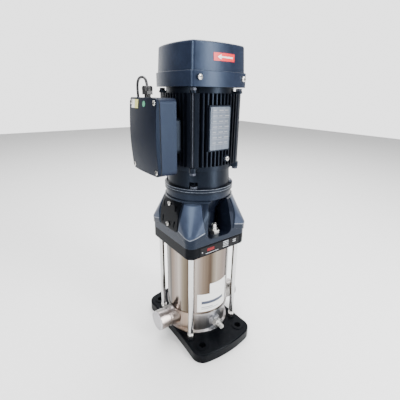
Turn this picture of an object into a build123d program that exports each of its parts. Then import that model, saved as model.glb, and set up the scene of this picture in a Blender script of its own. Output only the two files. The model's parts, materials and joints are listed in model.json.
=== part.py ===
from build123d import *
import math
import os

# Vertical multistage pump: a stack of impellers in a stainless sleeve, clamped by four
# stay bolts between a cast base plate and a pump head, with its motor standing on top.
#
# The origin is on the shaft axis at the underside of the base plate. +Z is up, -Y is the
# front with the drain plug, and the two pipe ports lie along X.

os.makedirs("parts", exist_ok=True)

# ---------------------------------------------------------------- fits
running_gap = 0.3  # between faces that turn or slide past each other
shaft_fit = 0.05  # radial clearance of a bore on its shaft
seat_gap = 0.1  # clearance round a piece that sits still in a recess

# ---------------------------------------------------------------- base plate
stay_spacing = 116.0  # of the four stay bolts, in a square
plate_margin = 18.0  # from a stay bolt's axis to the long side, at the plate's corners
plate_width = stay_spacing + 2 * plate_margin
plate_hollow = 5.0  # how far the long sides bow in at their middle
plate_length = 240.0  # over the crowns of its bowed ends
plate_shoulder = 217.0  # along Y, between the corners before they are rounded
plate_corner_radius = 25.0
plate_thickness = 22.0
plate_edge_radius = 3.0
anchor_spacing_x = 100.0
anchor_spacing_y = 180.0
anchor_hole_radius = 7.0
anchor_boss_radius = 13.5
anchor_boss_height = 1.5

# ---------------------------------------------------------------- stay bolts
stay_radius = 5.35
stay_thread_radius = 6.0
stay_thread_shown = 12.0  # thread that stands out of the plate
stay_depth_in_plate = 16.0
stay_depth_in_stool = 16.0
stay_boss_radius = 9.5
stay_boss_height = 2.0

# ---------------------------------------------------------------- pump casing
casing_radius = 65.5
casing_height = 52.0
casing_wall = 3.0
casing_floor = 4.0
casing_foot_radius = 70.0
casing_foot_height = 3.0
casing_bead_radius = 69.5
casing_bead_height = 4.0
casing_flare = 3.0  # height of the slopes into the foot and the bead
casing_lip_height = 8.0  # spigot that centres the sleeve
port_height = 50.0  # from the underside of the base plate
port_span = 210.0  # from end to end
port_radius = 21.2
port_wall = 2.6
port_root_radius = 23.5
port_root_reach = 75.0  # from the shaft axis
port_root_taper = 8.0  # degrees
groove_offset = 15.9  # clamp groove, from the end of the port
groove_width = 7.1
groove_depth = 1.6
drain_height = 47.0
drain_boss_radius = 14.0
drain_boss_taper = 12.0  # degrees
drain_boss_reach = 72.0
drain_bore_radius = 7.0

# ---------------------------------------------------------------- sleeve and its seals
sleeve_radius = 68.0
sleeve_wall = 1.5
sleeve_length = 151.0
sleeve_groove_depth = 2.0  # how far the sleeve enters the pump head
seal_section = 2.4  # square rings between the sleeve and its spigots

# ---------------------------------------------------------------- stages
stage_count = 4
stage_pitch = 34.0
stage_radius = 52.0
stage_wall = 2.0
eye_radius = 20.0  # suction neck of an impeller
eye_wall = 1.8
impeller_radius = 44.0
impeller_height = 15.0
impeller_clearance = 1.5  # above the floor of its chamber
shroud_thickness = 1.5
blade_count = 6
blade_thickness = 1.8
blade_sweep = 40.0  # degrees from root to tip
hub_radius = 11.0
vane_count = 6
vane_thickness = 2.0
diffuser_height = 20.0  # of its disc, above the floor of the chamber

# ---------------------------------------------------------------- pump head
head_margin = 14.5  # from a stay bolt's axis to the side of the head
head_width = stay_spacing + 2 * head_margin
head_corner_radius = 15.0
head_height = 24.0
head_edge_radius = 3.0
spigot_wall = 5.0
spigot_length = 8.0
ring_wall = 4.0  # ring that holds the stages down
seal_pocket_radius = 21.0
seal_pocket_floor = 6.0  # above the underside of the head

# ---------------------------------------------------------------- shafts and shaft seal
pump_shaft_radius = 8.0
pump_shaft_foot = 30.0  # height of its lower end
bottom_bearing_radius = 14.0
bottom_bearing_length = 12.0
seal_flange_radius = 27.0
seal_flange_height = 4.0
seal_bore_gap = 1.0  # round the shaft inside the stationary seat
seal_head_radius = 15.0
seal_head_height = 11.0

# ---------------------------------------------------------------- motor stool
stool_height = 98.0
foot_height = 24.0
stool_floor = 10.0
collar_radius = 66.0
collar_height = 17.0
lip_radius = 68.5
lip_height = 4.0
roundness = 0.97  # share of the collar radius used for the corners of the top section
cone_foot_radius = 38.0  # wall round the coupling, upright at the foot
cone_top_radius = 60.0  # where it leans out to the collar
cone_knee = 50.0  # height at which it starts to lean
cone_wall = 4.0
window_foot_width = 62.0
window_top_width = 46.0
window_height = 76.0
window_corner_radius = 11.0
guard_window_width = 56.0
guard_window_height = 52.0
guard_window_corner = 8.0
shield_depth = 1.6
shield_top_width = 36.0
shield_foot_width = 56.0
shield_point = 12.0  # drop of the lower edge to its point
shield_height = 60.0
guard_thickness = 1.5
guard_width = 64.0
guard_height = 60.0
guard_corner_radius = 6.0
guard_slot_length = 14.0
guard_slot_width = 4.0
guard_slot_span = 42.0
guard_slot_spacing = 32.0
guard_screw_spacing = 42.0
guard_screw_head = 4.2
guard_screw_head_height = 2.5
guard_screw_radius = 2.5
guard_screw_length = 12.0
guard_ear_radius = 7.0

# ---------------------------------------------------------------- port caps
cap_rim_inset = 0.4  # rim of the cap, inside the port's own rim
cap_thickness = 3.0
cap_depth = 12.0
cap_wall = 2.0

# ---------------------------------------------------------------- vent and drain plugs
vent_margin = 18.5  # from the front of the pump head
vent_reach = head_width / 2 - vent_margin
plug_hex = 19.0  # across flats
plug_hex_height = 9.0
plug_neck_radius = 6.0
plug_neck_height = 6.0
plug_stem_radius = 6.7
vent_stem_length = 20.0
stem_radius = 3.0
stem_head_radius = 5.0
stem_head_height = 6.0
stem_depth = 9.0
drain_stem_length = 9.0

# ---------------------------------------------------------------- coupling
coupling_radius = 25.0
coupling_length = 54.0
coupling_foot = 22.0  # above the foot of the stool
coupling_split = 1.6
coupling_screw_radius = 3.0
coupling_screw_head = 5.0
coupling_screw_head_height = 3.0
coupling_screw_reach = 16.5  # from the shaft axis
coupling_screw_spacing = 32.0
coupling_screw_seat = 15.0  # of the screw heads, from the split
coupling_pin_radius = 2.5
coupling_pin_length = 36.0
shaft_end_gap = 4.0  # between the two shafts

# ---------------------------------------------------------------- motor
flange_height = 10.0
flange_bolt_circle = 60.0  # radius
flange_bolt_radius = 4.0
flange_bolt_head = 13.0  # across flats
flange_bolt_head_height = 5.3
flange_bolt_length = 20.0
flange_spigot_radius = 47.5
flange_spigot_height = 3.5
shield_foot_radius = 62.0
shield_neck_radius = 60.0
drive_shield_height = 42.0
drive_rim_height = 10.0
frame_height = 124.0
frame_bore_radius = 52.0
frame_wall = 4.0
frame_corner_reach = 76.0
frame_side_reach = 66.0
frame_corner_radius = 9.0
fin_pitch = 8.0
fin_count = 10  # on each side
fin_thickness = 2.4
lug_inset = 5.0  # of the tie bolts, from the frame's corners
lug_reach = frame_corner_reach - lug_inset
lug_radius = 6.5
corner_block_width = 21.0  # plain corner of the frame, across the diagonal
tie_bolt_radius = 2.9
tie_bolt_hex = 10.0
tie_bolt_head_height = 4.5
drive_lug_height = 9.0
rear_lug_height = 4.0
rear_rim_height = 10.0
cowl_height = 67.0
cowl_ring_height = 24.0
cowl_wall = 2.0
cowl_corner_overhang = 6.8  # past the frame's corners
cowl_ring_reach = frame_corner_reach + cowl_corner_overhang
cowl_overhang = 2.5  # past the frame's sides
cowl_side_reach = frame_side_reach + cowl_overhang
cowl_corner_radius = 8.0
cowl_step = 3.0
cowl_taper = 3.0
cowl_top_radius = 4.0
cowl_screw_spread = 94.0
cowl_screw_rise = 14.0
cowl_screw_head = 4.5
cowl_screw_head_height = 2.0
cowl_screw_radius = 2.0
cowl_screw_length = 9.0
seat_rim_height = 18.0
seat_rim_wall = 6.0
grille_rings = 6
grille_pitch = 8.5
grille_bar = 3.5
grille_spokes = 6
grille_spoke_width = 4.0

bearing_bore = 10.0  # radius
bearing_radius = 23.5
bearing_width = 14.0
race_thickness = 4.0
ball_count = 7
bearing_housing_wall = 5.0
motor_shaft_radius = 9.5
rotor_shaft_radius = 12.5
fan_shaft_radius = 8.5
rotor_radius = 33.0
air_gap = 0.5
core_length = 80.0
winding_height = 16.0
winding_inner_radius = 36.0
winding_wall = 12.0
end_ring_height = 8.0
end_ring_radius = 30.0
fan_hub_radius = 14.0
fan_height = 20.0
fan_radius = 56.0
fan_blades = 8
fan_blade_thickness = 2.0
fan_rise = 26.0  # above the foot of the cowl

# ---------------------------------------------------------------- plate and earth screw
nameplate_width = 43.0
nameplate_height = 72.0
nameplate_thickness = 0.8
nameplate_offset = -5.0
nameplate_rise = 67.0  # of its centre, above the foot of the frame
nameplate_pad = 1.0  # how far the pad stands out of the fins
earth_screw_offset = 14.0
earth_screw_rise = 13.0
earth_screw_head = 4.0
earth_screw_head_height = 3.0
lead_passage_radius = 12.0  # between the terminal box and the windings
shield_lip = 3.0  # thickness of the shields' webs
shield_rim_inset = 4.0  # of the rear shield's rim, from the frame's sides
shield_rim_radius = frame_side_reach - shield_rim_inset
flange_bolt_pocket_height = 12.0

# ---------------------------------------------------------------- terminal box
box_stand = 15.6  # from the side of the motor frame
box_back = frame_side_reach + box_stand
box_depth = 29.4
box_width = 98.0
box_height = 125.0
box_foot = 43.0  # above the top of the stool
box_corner_radius = 8.0
box_wall = 3.0
box_neck_width = 56.0
box_neck_depth = 9.4  # back to the pad on the motor frame
gasket_thickness = 1.3
lid_rim = 3.7
lid_bulge = 6.5
lid_pocket = 2.0
lid_screw_inset = 7.5
lid_screw_head = 4.2
lid_screw_recess = 5.2
lid_screw_head_height = 2.8
lid_screw_radius = 2.0
lid_screw_length = 16.0
lid_boss_radius = 5.0
board_width = 50.0
board_height = 60.0
board_thickness = 6.0
board_drop = 22.0  # below the middle of the box
post_radius = 2.5
post_height = 9.0
post_spread = 14.0

# ---------------------------------------------------------------- gland and lead
gland_offset_x = 98.5  # from the shaft axis, towards the box
gland_offset_y = 16.0
gland_neck_radius = 5.5
gland_neck_height = 4.5
gland_hex = 17.0
gland_hex_height = 6.0
gland_nut_radius = 8.6
gland_nut_height = 8.0
gland_bore_depth = 8.5
lead_radius = 2.25
elbow_offset_x = 96.4
elbow_reach = 5.5  # of its mouth, from the wall of the box
elbow_radius = 5.0
elbow_neck_radius = 4.0
elbow_height = 14.0
elbow_top = 94.0  # above the foot of the box
elbow_bore_depth = 5.0
lead_lift = 4.6  # straight part of the lead over the gland
lead_arch = 14.0  # height of its arch over the gland
lead_bow = 1.9  # how far it bows out on its way down
lead_drop = 15.0  # from the gland's top down to the bow
lead_run_in = 14.0  # straight part over the elbow


# ---------------------------------------------------------------- levels along the axis
casing_top = plate_thickness + casing_height
stack_top = casing_top + stage_count * stage_pitch
head_bottom = casing_top + sleeve_length - sleeve_groove_depth
head_top = head_bottom + head_height
stool_top = head_top + stool_height
flange_top = stool_top + flange_height
frame_bottom = flange_top + drive_shield_height
frame_top = frame_bottom + frame_height
cowl_bottom = frame_top + rear_rim_height
cowl_top = cowl_bottom + cowl_height
foot_top = head_top + foot_height
collar_bottom = stool_top - collar_height
box_bottom = stool_top + box_foot
box_middle = box_bottom + box_height / 2
box_top = box_bottom + box_height
coupling_bottom = head_top + coupling_foot
pump_shaft_top = coupling_bottom + coupling_length / 2
motor_shaft_bottom = pump_shaft_top + shaft_end_gap


# ---------------------------------------------------------------- shared forms
def turned(points, mode=Mode.ADD):
    """Turn a half section, given as (radius, height) points, about the shaft axis."""
    with BuildSketch(Plane.XZ) as section:
        with BuildLine():
            Polyline(*points, close=True)
        make_face()
    revolve(section.sketch, axis=Axis.Z, mode=mode)


def ring(inner, outer, bottom, height, mode=Mode.ADD):
    """A plain ring on the shaft axis, or a disc where inner is 0."""
    with BuildSketch(Plane.XY.offset(bottom)) as section:
        Circle(outer)
        if inner > 0:
            Circle(inner, mode=Mode.SUBTRACT)
    extrude(section.sketch, amount=height, mode=mode)


def drilled(spots, radius, bottom, height, mode=Mode.SUBTRACT):
    """Upright cylinders at the spots, cut away unless another mode is given."""
    with BuildSketch(Plane.XY.offset(bottom)) as section:
        with Locations(*spots):
            Circle(radius)
    extrude(section.sketch, amount=height, mode=mode)


def hexagons(spots, across_flats, bottom, height):
    """Upright hexagon heads at the spots."""
    with BuildSketch(Plane.XY.offset(bottom)) as section:
        with Locations(*spots):
            RegularPolygon(across_flats / 2, 6, major_radius=False)
    extrude(section.sketch, amount=height)


def bulged_square(corner_reach, side_reach, corner_radius):
    """A square with bowed sides. corner_reach is on the diagonal before rounding."""
    corner = corner_reach / math.sqrt(2)
    with BuildSketch() as outline:
        with BuildLine():
            ThreePointArc((-corner, -corner), (0, -side_reach), (corner, -corner))
            ThreePointArc((corner, -corner), (side_reach, 0), (corner, corner))
            ThreePointArc((corner, corner), (0, side_reach), (-corner, corner))
            ThreePointArc((-corner, corner), (-side_reach, 0), (-corner, -corner))
        make_face()
        fillet(outline.vertices(), corner_radius)
    return outline.sketch


def square_pattern(spacing):
    """The four corners of a square round the shaft axis."""
    half = spacing / 2
    return [(x, y) for x in (-half, half) for y in (-half, half)]


def ears(bottom, height):
    """The four ears of a motor shield, which carry the tie bolts."""
    with BuildSketch(Plane.XY.offset(bottom)) as outline:
        with Locations(*lug_spots):
            Circle(lug_radius)
        for turn in (45, 135):
            with Locations(Rotation(0, 0, turn)):
                Rectangle(2 * lug_reach, 2 * lug_radius)
        Circle(frame_bore_radius + frame_wall / 2, mode=Mode.SUBTRACT)
    extrude(outline.sketch, amount=height)


def finish(piece, name):
    """Label a piece and write its STEP file."""
    piece.part.label = name
    export_step(piece.part, f"parts/{name}.step")


stay_spots = square_pattern(stay_spacing)
lug_spots = square_pattern(lug_reach * math.sqrt(2))
flange_bolt_spots = square_pattern(flange_bolt_circle * math.sqrt(2))


# ================================================================ base plate
anchor_spots = [
    (x * anchor_spacing_x / 2, y * anchor_spacing_y / 2) for x in (-1, 1) for y in (-1, 1)
]
with BuildPart() as base_plate:
    half_width = plate_width / 2
    half_shoulder = plate_shoulder / 2
    with BuildSketch() as plate_outline:
        with BuildLine():
            for side in (-1, 1):
                ThreePointArc(
                    (side * half_width, -half_shoulder),
                    (side * (half_width - plate_hollow), 0),
                    (side * half_width, half_shoulder),
                )
                ThreePointArc(
                    (-half_width, side * half_shoulder),
                    (0, side * plate_length / 2),
                    (half_width, side * half_shoulder),
                )
        make_face()
        fillet(plate_outline.vertices(), plate_corner_radius)
    extrude(amount=plate_thickness)
    fillet(base_plate.faces().sort_by(Axis.Z)[-1].edges(), plate_edge_radius)
    drilled(anchor_spots, anchor_boss_radius, plate_thickness, anchor_boss_height, Mode.ADD)
    drilled(stay_spots, stay_boss_radius, plate_thickness, stay_boss_height, Mode.ADD)
    drilled(anchor_spots, anchor_hole_radius, 0, plate_thickness + anchor_boss_height)
    drilled(
        stay_spots,
        stay_thread_radius + seat_gap,
        plate_thickness - stay_depth_in_plate,
        stay_depth_in_plate + stay_boss_height,
    )
finish(base_plate, "base_plate")

# ================================================================ pump casing
lip_radius_inner = casing_radius - casing_wall
lip_radius_outer = sleeve_radius - sleeve_wall - running_gap
port_end = port_span / 2
seal_seat_radius = sleeve_radius - sleeve_wall - seat_gap - seal_section
with BuildPart() as pump_casing:
    foot = plate_thickness
    turned(
        [
            (0, foot),
            (casing_foot_radius, foot),
            (casing_foot_radius, foot + casing_foot_height),
            (casing_radius, foot + casing_foot_height + casing_flare),
            (casing_radius, casing_top - casing_bead_height - casing_flare),
            (casing_bead_radius, casing_top - casing_bead_height),
            (casing_bead_radius, casing_top),
            (lip_radius_outer, casing_top),
            (lip_radius_outer, casing_top + casing_lip_height),
            (lip_radius_inner, casing_top + casing_lip_height),
            (lip_radius_inner, foot + casing_floor),
            (0, foot + casing_floor),
        ]
    )
    # ring under the stages and cup of the bottom bearing
    ring(stage_radius - casing_wall, stage_radius, foot, casing_height)
    ring(
        bottom_bearing_radius + seat_gap,
        bottom_bearing_radius + seat_gap + casing_wall,
        foot,
        casing_floor + bottom_bearing_length,
    )
    # seal groove in the lip
    ring(
        seal_seat_radius - seat_gap,
        sleeve_radius,
        casing_top + casing_lip_height / 2 - seal_section / 2 - seat_gap,
        seal_section + 2 * seat_gap,
        Mode.SUBTRACT,
    )
    # ports: the inlet reaches into the ring under the stages, the outlet opens outside it
    for side, start in ((-1, stage_radius - casing_wall), (1, casing_radius - casing_wall)):
        port_plane = Plane((side * start, 0, port_height), x_dir=(0, side, 0), z_dir=(side, 0, 0))
        with BuildSketch(port_plane):
            Circle(port_radius)
        extrude(amount=port_end - start)
        root_start = casing_radius - casing_wall
        with BuildSketch(port_plane.offset(root_start - start)):
            Circle(port_root_radius)
        extrude(amount=port_root_reach - root_start, taper=port_root_taper)
    for side in (-1, 1):
        bore_start = (stage_radius - 2 * casing_wall) if side < 0 else stage_radius + casing_wall
        bore_plane = Plane(
            (side * bore_start, 0, port_height), x_dir=(0, side, 0), z_dir=(side, 0, 0)
        )
        with BuildSketch(bore_plane):
            Circle(port_radius - port_wall)
        extrude(amount=port_end - bore_start, mode=Mode.SUBTRACT)
        with BuildSketch(bore_plane.offset(port_end - bore_start - groove_offset)):
            Circle(port_radius)
            Circle(port_radius - groove_depth, mode=Mode.SUBTRACT)
        extrude(amount=-groove_width, mode=Mode.SUBTRACT)
    # drain boss
    drain_plane = Plane((0, 0, drain_height), x_dir=(1, 0, 0), z_dir=(0, -1, 0))
    drain_root = casing_radius - casing_wall
    with BuildSketch(drain_plane.offset(drain_root)):
        Circle(drain_boss_radius)
    extrude(amount=drain_boss_reach - drain_root, taper=drain_boss_taper)
    with BuildSketch(drain_plane.offset(stage_radius + casing_wall)):
        Circle(drain_bore_radius)
    extrude(amount=drain_boss_reach, mode=Mode.SUBTRACT)
finish(pump_casing, "pump_casing")

# ================================================================ outer sleeve and its seals
with BuildPart() as outer_sleeve:
    ring(sleeve_radius - sleeve_wall, sleeve_radius, casing_top, sleeve_length)
finish(outer_sleeve, "outer_sleeve")

head_spigot_middle = head_bottom - spigot_length / 2
with BuildPart() as sleeve_seals:
    for middle in (casing_top + casing_lip_height / 2, head_spigot_middle):
        ring(
            seal_seat_radius,
            seal_seat_radius + seal_section,
            middle - seal_section / 2,
            seal_section,
        )
finish(sleeve_seals, "sleeve_seals")

# ================================================================ stages
chamber_floor = stage_wall
for number in range(1, stage_count + 1):
    bottom = casing_top + (number - 1) * stage_pitch
    with BuildPart() as stage_chamber:
        turned(
            [
                (eye_radius + running_gap, bottom),
                (stage_radius, bottom),
                (stage_radius, bottom + stage_pitch),
                (stage_radius - stage_wall, bottom + stage_pitch),
                (stage_radius - stage_wall, bottom + chamber_floor),
                (eye_radius + running_gap, bottom + chamber_floor),
            ]
        )
        vane_bottom = bottom + diffuser_height
        ring(hub_radius + running_gap, impeller_radius, vane_bottom, stage_wall)
        vane_start = eye_radius
        with BuildSketch(Plane.XY.offset(vane_bottom)):
            with PolarLocations((vane_start + stage_radius - stage_wall) / 2, vane_count):
                Rectangle(stage_radius - vane_start, vane_thickness)
        extrude(amount=stage_pitch - diffuser_height - running_gap)
    finish(stage_chamber, f"stage_chamber_{number}")

    impeller_bottom = bottom + chamber_floor + impeller_clearance
    impeller_top = impeller_bottom + impeller_height
    hub_bore = pump_shaft_radius + shaft_fit
    with BuildPart() as impeller:
        # the hub runs up to the next one, so the hubs space the impellers
        ring(hub_bore, hub_radius, bottom, stage_pitch)
        ring(hub_radius, impeller_radius, impeller_top - shroud_thickness, shroud_thickness)
        turned(
            [
                (eye_radius - eye_wall, bottom),
                (eye_radius, bottom),
                (eye_radius, impeller_bottom),
                (impeller_radius, impeller_bottom),
                (impeller_radius, impeller_bottom + shroud_thickness),
                (eye_radius - eye_wall, impeller_bottom + shroud_thickness),
            ]
        )
        # backward swept blades between the two shrouds
        root = eye_radius + eye_wall
        tip = impeller_radius
        half_turn = math.radians(blade_sweep / 2)
        full_turn = math.radians(blade_sweep)
        middle = (root + tip) / 2
        with BuildSketch(Plane.XY.offset(impeller_bottom + shroud_thickness / 2)):
            with BuildLine() as blade_line:
                ThreePointArc(
                    (root, 0),
                    (middle * math.cos(half_turn), middle * math.sin(half_turn)),
                    (tip * math.cos(full_turn), tip * math.sin(full_turn)),
                )
            with PolarLocations(0, blade_count):
                trace(blade_line.edges(), line_width=blade_thickness)
            Circle(tip, mode=Mode.INTERSECT)
        extrude(amount=impeller_height - shroud_thickness)
    finish(impeller, f"impeller_{number}")

# ================================================================ pump head
with BuildPart() as pump_head:
    with BuildSketch(Plane.XY.offset(head_bottom)):
        RectangleRounded(head_width, head_width, head_corner_radius)
    extrude(amount=head_height)
    fillet(pump_head.faces().sort_by(Axis.Z)[0].edges(), head_edge_radius)
    # groove for the sleeve, then the spigot inside it and the ring that holds the stages
    ring(
        sleeve_radius - sleeve_wall - seat_gap,
        sleeve_radius + seat_gap,
        head_bottom,
        sleeve_groove_depth,
        Mode.SUBTRACT,
    )
    spigot_outer = sleeve_radius - sleeve_wall - running_gap
    ring(spigot_outer - spigot_wall, spigot_outer, head_bottom - spigot_length, spigot_length)
    ring(stage_radius - ring_wall, stage_radius, stack_top, head_bottom - stack_top)
    ring(
        seal_seat_radius - seat_gap,
        sleeve_radius,
        head_spigot_middle - seal_section / 2 - seat_gap,
        seal_section + 2 * seat_gap,
        Mode.SUBTRACT,
    )
    # bore for the shaft and pocket for its seal
    ring(0, hub_radius + seal_bore_gap, head_bottom, head_height, Mode.SUBTRACT)
    ring(
        0,
        seal_pocket_radius,
        head_bottom + seal_pocket_floor,
        head_height - seal_pocket_floor,
        Mode.SUBTRACT,
    )
    # vent passage and clearance holes for the stay bolts
    vent_spot = [(0, -vent_reach)]
    drilled(vent_spot, plug_stem_radius + running_gap, head_bottom, head_height)
    drilled(stay_spots, stay_thread_radius + seat_gap, head_bottom, head_height)
finish(pump_head, "pump_head")

# ================================================================ stay bolts
stay_bottom = plate_thickness - stay_depth_in_plate
stay_top = head_top + stay_depth_in_stool
shank_bottom = plate_thickness + stay_boss_height + stay_thread_shown
for number, spot in enumerate(stay_spots, start=1):
    with BuildPart() as stay_bolt:
        drilled([spot], stay_thread_radius, stay_bottom, shank_bottom - stay_bottom, Mode.ADD)
        drilled([spot], stay_radius, shank_bottom, head_bottom - shank_bottom, Mode.ADD)
        drilled([spot], stay_thread_radius, head_bottom, stay_top - head_bottom, Mode.ADD)
    finish(stay_bolt, f"stay_bolt_{number}")


# ================================================================ motor stool
def lantern(growth):
    """The stool's foot and the body that slopes from it into the round collar."""
    side = head_width + 2 * growth
    corner = head_corner_radius + growth
    top = collar_radius + growth
    ring_corner = top * roundness
    with BuildPart() as body:
        with BuildSketch(Plane.XY.offset(head_top)):
            RectangleRounded(side, side, corner)
        extrude(amount=foot_height)
        with BuildSketch(Plane.XY.offset(foot_top)):
            RectangleRounded(side, side, corner)
        with BuildSketch(Plane.XY.offset(collar_bottom)):
            RectangleRounded(2 * top, 2 * top, ring_corner)
        loft(ruled=True)
    return body.part


window_bottom = head_top + stool_floor
guard_middle = collar_bottom - guard_height / 2 - seat_gap
guard_screw_heights = [guard_middle + rise * guard_screw_spacing / 2 for rise in (-1, 1)]
shield_top = collar_bottom - lip_height / 2
diagonals = (45, 135, 225, 315)
with BuildPart() as shield_panels:
    add(lantern(shield_depth))
    with BuildPart(mode=Mode.PRIVATE) as shield_prisms:
        for angle in diagonals:
            facing = Plane.XZ.rotated((0, 0, angle))
            with BuildSketch(facing) as shield_outline:
                with BuildLine():
                    Polyline(
                        (-shield_top_width / 2, shield_top),
                        (-shield_foot_width / 2, shield_top - shield_height),
                        (0, shield_top - shield_height - shield_point),
                        (shield_foot_width / 2, shield_top - shield_height),
                        (shield_top_width / 2, shield_top),
                        close=True,
                    )
                make_face()
            extrude(shield_outline.sketch, amount=2 * head_width)
    add(shield_prisms.part, mode=Mode.INTERSECT)

with BuildPart() as motor_stool:
    add(lantern(0))
    add(shield_panels.part)
    ring(0, collar_radius, collar_bottom, collar_height)
    ring(0, lip_radius, collar_bottom, lip_height)
    # windows on the front and back, from foot to collar
    with BuildSketch(Plane.XZ.offset(-head_width)):
        with BuildLine():
            Polyline(
                (-window_foot_width / 2, window_bottom),
                (window_foot_width / 2, window_bottom),
                (window_top_width / 2, window_bottom + window_height),
                (-window_top_width / 2, window_bottom + window_height),
                close=True,
            )
        window_face = make_face()
        fillet(window_face.vertices(), window_corner_radius)
    extrude(amount=2 * head_width, mode=Mode.SUBTRACT)
    # sloping wall round the coupling, then the chamber inside it
    knee = head_top + cone_knee
    turned(
        [
            (0, head_top),
            (cone_foot_radius, head_top),
            (cone_foot_radius, knee),
            (cone_top_radius, stool_top),
            (0, stool_top),
        ]
    )
    chamber_foot = cone_foot_radius - cone_wall
    spigot_seat = flange_spigot_radius + seat_gap
    spigot_depth = flange_spigot_height + seat_gap
    turned(
        [
            (0, window_bottom),
            (chamber_foot, window_bottom),
            (chamber_foot, knee),
            (flange_spigot_radius - cone_wall, stool_top - spigot_depth),
            (spigot_seat, stool_top - spigot_depth),
            (spigot_seat, stool_top),
            (0, stool_top),
        ],
        Mode.SUBTRACT,
    )
    ring(0, seal_flange_radius + seat_gap, head_top, stool_floor, Mode.SUBTRACT)
    # windows behind the two coupling guards, with an ear for each guard screw
    with BuildSketch(Plane.YZ.offset(-head_width)):
        with Locations((0, guard_middle)):
            RectangleRounded(guard_window_width, guard_window_height, guard_window_corner)
        with Locations(*[(0, height) for height in guard_screw_heights]):
            Circle(guard_ear_radius, mode=Mode.SUBTRACT)
    extrude(amount=2 * head_width, mode=Mode.SUBTRACT)
    # holes for the guard screws, vent plug, stay bolts and flange bolts
    for height in guard_screw_heights:
        with BuildSketch(Plane.YZ.offset(-head_width)):
            with Locations((0, height)):
                Circle(guard_screw_radius + seat_gap)
        extrude(amount=2 * head_width, mode=Mode.SUBTRACT)
    drilled([(0, -vent_reach)], plug_stem_radius + running_gap, head_top, stool_floor)
    drilled(stay_spots, stay_thread_radius + seat_gap, head_top, stay_depth_in_stool)
    bolt_depth = flange_bolt_length - flange_height
    drilled(flange_bolt_spots, flange_bolt_radius + seat_gap, stool_top - bolt_depth, bolt_depth)
finish(motor_stool, "motor_stool")

# ================================================================ coupling guards
for name, side in (("coupling_guard_left", -1), ("coupling_guard_right", 1)):
    guard_plane = Plane((0, 0, guard_middle), x_dir=(0, side, 0), z_dir=(side, 0, 0))
    with BuildPart() as guard:
        add(lantern(guard_thickness + seat_gap))
        with BuildSketch(guard_plane):
            RectangleRounded(guard_width, guard_height, guard_corner_radius)
        extrude(amount=head_width, mode=Mode.INTERSECT)
        add(lantern(seat_gap), mode=Mode.SUBTRACT)
        with BuildSketch(guard_plane):
            with GridLocations(guard_slot_span, guard_slot_spacing, 2, 2):
                SlotOverall(guard_slot_length, guard_slot_width, rotation=90)
            with GridLocations(0, guard_screw_spacing, 1, 2):
                Circle(guard_screw_radius + seat_gap)
        extrude(amount=head_width, mode=Mode.SUBTRACT)
    finish(guard, name)


def slope_reach(height):
    """How far the flat side of the lantern lies from the shaft axis at a height."""
    share = (height - foot_top) / (collar_bottom - foot_top)
    return head_width / 2 + (collar_radius - head_width / 2) * share


with BuildPart() as guard_screws:
    for side in (-1, 1):
        for height in guard_screw_heights:
            lowest = height - guard_screw_head
            head_seat = slope_reach(lowest) + guard_thickness + 2 * seat_gap
            screw_plane = Plane((side * head_seat, 0, height), z_dir=(side, 0, 0))
            with BuildSketch(screw_plane):
                Circle(guard_screw_head)
            extrude(amount=guard_screw_head_height)
            with BuildSketch(screw_plane):
                Circle(guard_screw_radius)
            extrude(amount=-guard_screw_length)
finish(guard_screws, "guard_screws")

# ================================================================ vent and drain plugs
vent_spot = [(0, -vent_reach)]
vent_seat = window_bottom + seat_gap
vent_hex_top = vent_seat + plug_hex_height
vent_neck_top = vent_hex_top + plug_neck_height
with BuildPart() as vent_plug:
    hexagons(vent_spot, plug_hex, vent_seat, plug_hex_height)
    drilled(vent_spot, plug_neck_radius, vent_hex_top, plug_neck_height, Mode.ADD)
    drilled(vent_spot, plug_stem_radius, vent_seat - vent_stem_length, vent_stem_length, Mode.ADD)
    drilled(vent_spot, stem_radius + running_gap, vent_neck_top - stem_depth, stem_depth)
finish(vent_plug, "vent_plug")

with BuildPart() as vent_screw:
    stem_foot = vent_neck_top - stem_depth + running_gap
    drilled(vent_spot, stem_radius, stem_foot, stem_depth, Mode.ADD)
    drilled(vent_spot, stem_head_radius, vent_neck_top + running_gap, stem_head_height, Mode.ADD)
    with BuildSketch(Plane.XY.offset(vent_neck_top + running_gap + stem_head_height / 2)):
        with Locations(*vent_spot):
            Rectangle(2 * stem_head_radius, stem_radius / 2)
    extrude(amount=stem_head_height, mode=Mode.SUBTRACT)
finish(vent_screw, "vent_screw")

drain_seat = drain_boss_reach + running_gap
drain_face = drain_seat + plug_hex_height + plug_neck_height
with BuildPart() as drain_plug:
    with BuildSketch(drain_plane.offset(drain_seat)):
        RegularPolygon(plug_hex / 2, 6, major_radius=False)
    extrude(amount=plug_hex_height)
    with BuildSketch(drain_plane.offset(drain_seat + plug_hex_height)):
        Circle(plug_neck_radius)
    extrude(amount=plug_neck_height)
    with BuildSketch(drain_plane.offset(drain_seat)):
        Circle(drain_bore_radius - running_gap)
    extrude(amount=-drain_stem_length)
    with BuildSketch(drain_plane.offset(drain_face)):
        Circle(stem_radius + running_gap)
    extrude(amount=-stem_depth, mode=Mode.SUBTRACT)
finish(drain_plug, "drain_plug")

with BuildPart() as bypass_stem:
    with BuildSketch(drain_plane.offset(drain_face - stem_depth + running_gap)):
        Circle(stem_radius)
    extrude(amount=stem_depth)
    with BuildSketch(drain_plane.offset(drain_face + running_gap)):
        Circle(stem_head_radius)
    extrude(amount=stem_head_height)
    with BuildSketch(drain_plane.offset(drain_face + running_gap + stem_head_height / 2)):
        Rectangle(2 * stem_head_radius, stem_radius / 2)
    extrude(amount=stem_head_height, mode=Mode.SUBTRACT)
finish(bypass_stem, "bypass_stem")

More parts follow.
